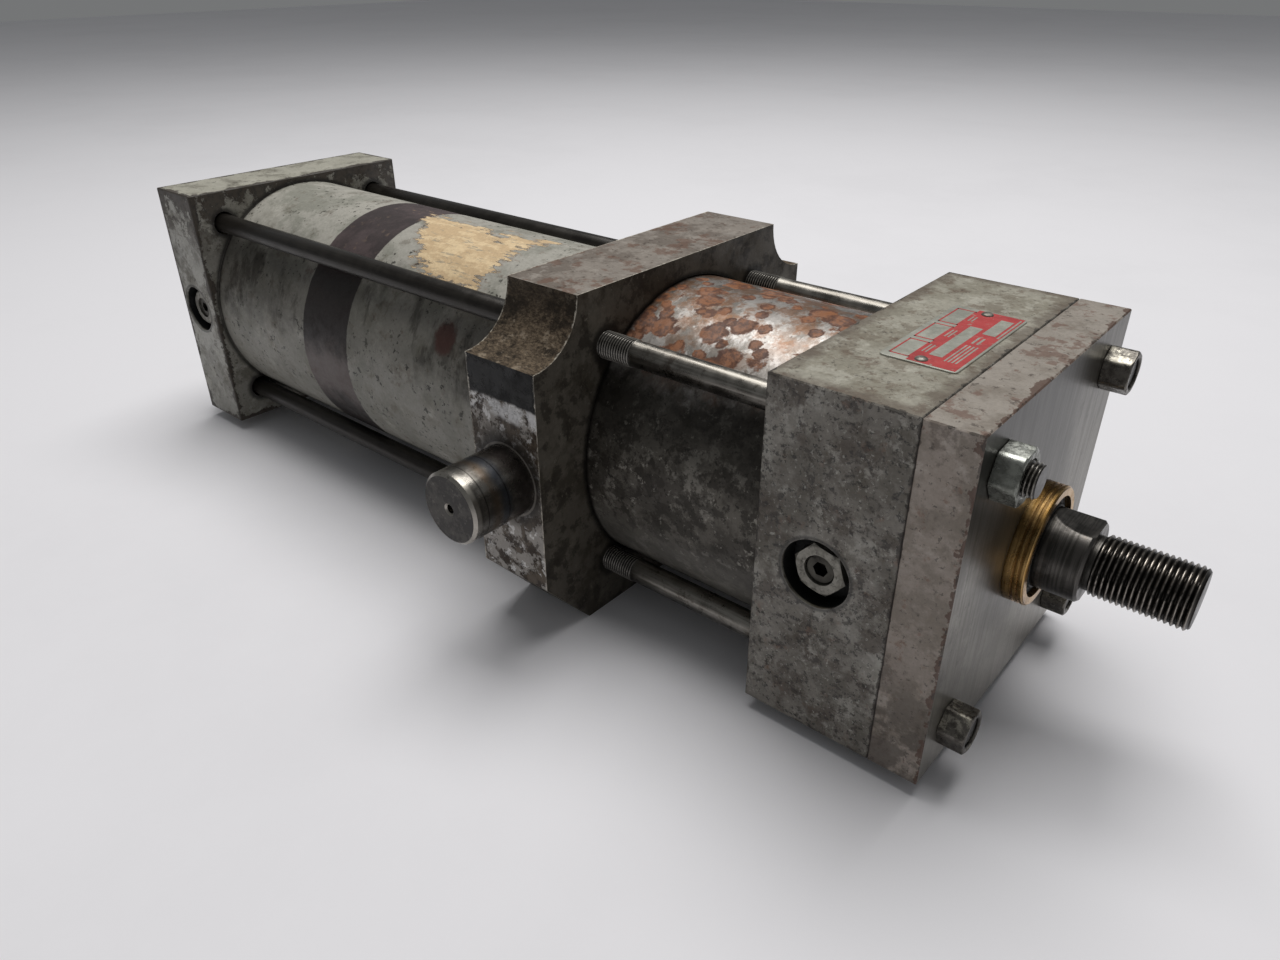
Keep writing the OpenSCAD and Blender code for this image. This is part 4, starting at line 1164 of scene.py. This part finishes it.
BACK_FIELDS = [(0.04, 0.31), (0.35, 0.63), (0.67, 0.96)]
printed = [label_rect(0.34, 1.0, 0.0, 1.0, 1)]
for v0, v1 in BACK_FIELDS:
    printed += printed_frame(0.05, 0.34, v0, v1)
bare = [
    label_rect(0.50, 0.68, 0.14, 0.70, 2),
    label_rect(0.74, 0.92, 0.62, 0.91, 2),
    label_rect(0.955, 0.98, 0.60, 0.97, 2),
]
for v0, v1 in [(0.16, 0.29), (0.45, 0.58), (0.78, 0.87)]:
    bare += bare_dashes(0.37, 0.47, v0, v1, 2)
bare += bare_dashes(0.74, 0.94, 0.10, 0.40, 4)
bare += bare_dashes(0.76, 0.90, 0.44, 0.55, 2)
make_piece("data_plate_fields", *joined(printed), "data_plate_print", "cylinder_body")
make_piece("data_plate_marks", *joined(bare), "data_plate_print", "cylinder_body", material=BARE_LABEL)


# ---- Stage, light and camera ----

FLOOR_Z = BLOCK_LOW.z
FLOOR_SIZE = 8.0
LAMP_PLACE = (-0.30, 0.35, 1.6)
LAMP_SIZE = 1.2
LAMP_POWER = 25
LAMP_COLOUR = (1.0, 0.99, 0.97)
WORLD_COLOUR = "c9cbcc"
WORLD_STRENGTH = 0.30


def floor_material():
    g = Graph("floor_paper")
    colour = g.mottled("edecf0", "e9e8ec", 300 * MM, 0.42, 0.3)
    return g.finish(colour, 0.85, 0.0)


bpy.ops.mesh.primitive_plane_add(size=FLOOR_SIZE, location=(0, 0, FLOOR_Z))
floor = bpy.context.object
floor.name = "floor"
floor.data.materials.append(floor_material())


# Square soft light overhead, pointed at the middle of the object
lamp_data = bpy.data.lights.new("overhead", "AREA")
lamp_data.shape = "SQUARE"
lamp_data.size = LAMP_SIZE
lamp_data.energy = LAMP_POWER
lamp_data.color = LAMP_COLOUR
lamp = bpy.data.objects.new("overhead", lamp_data)
bpy.context.scene.collection.objects.link(lamp)
middle = Vector(((CAP_LOW.x + ROD_HIGH.x) / 2, 0, 0))
lamp.location = LAMP_PLACE
lamp.rotation_euler = (middle - Vector(LAMP_PLACE)).to_track_quat("-Z", "Y").to_euler()

world = bpy.data.worlds.new("studio")
world.use_nodes = True
background = world.node_tree.nodes["Background"]
background.inputs["Color"].default_value = tone(WORLD_COLOUR)
background.inputs["Strength"].default_value = WORLD_STRENGTH
bpy.context.scene.world = world
bpy.context.scene.view_settings.view_transform = "Standard"

CAMERA_PLACE = Vector((62.2, -254.5, 155.5)) * MM
CAMERA_AZIMUTH = math.radians(40.28)
CAMERA_ELEVATION = math.radians(29.82)
CAMERA_ROLL = math.radians(-0.23)
SENSOR_WIDTH_MM = 36
LENS_MM = 26.12
camera_data = bpy.data.cameras.new("camera")
camera_data.sensor_width = SENSOR_WIDTH_MM
camera_data.lens = LENS_MM
camera_data.clip_start = 0.01
camera = bpy.data.objects.new("camera", camera_data)
bpy.context.scene.collection.objects.link(camera)
camera.matrix_world = (
    Matrix.Translation(CAMERA_PLACE)
    @ Matrix.Rotation(CAMERA_AZIMUTH, 4, "Z")
    @ Matrix.Rotation(math.pi / 2 - CAMERA_ELEVATION, 4, "X")
    @ Matrix.Rotation(CAMERA_ROLL, 4, "Z")
)
bpy.context.scene.camera = camera
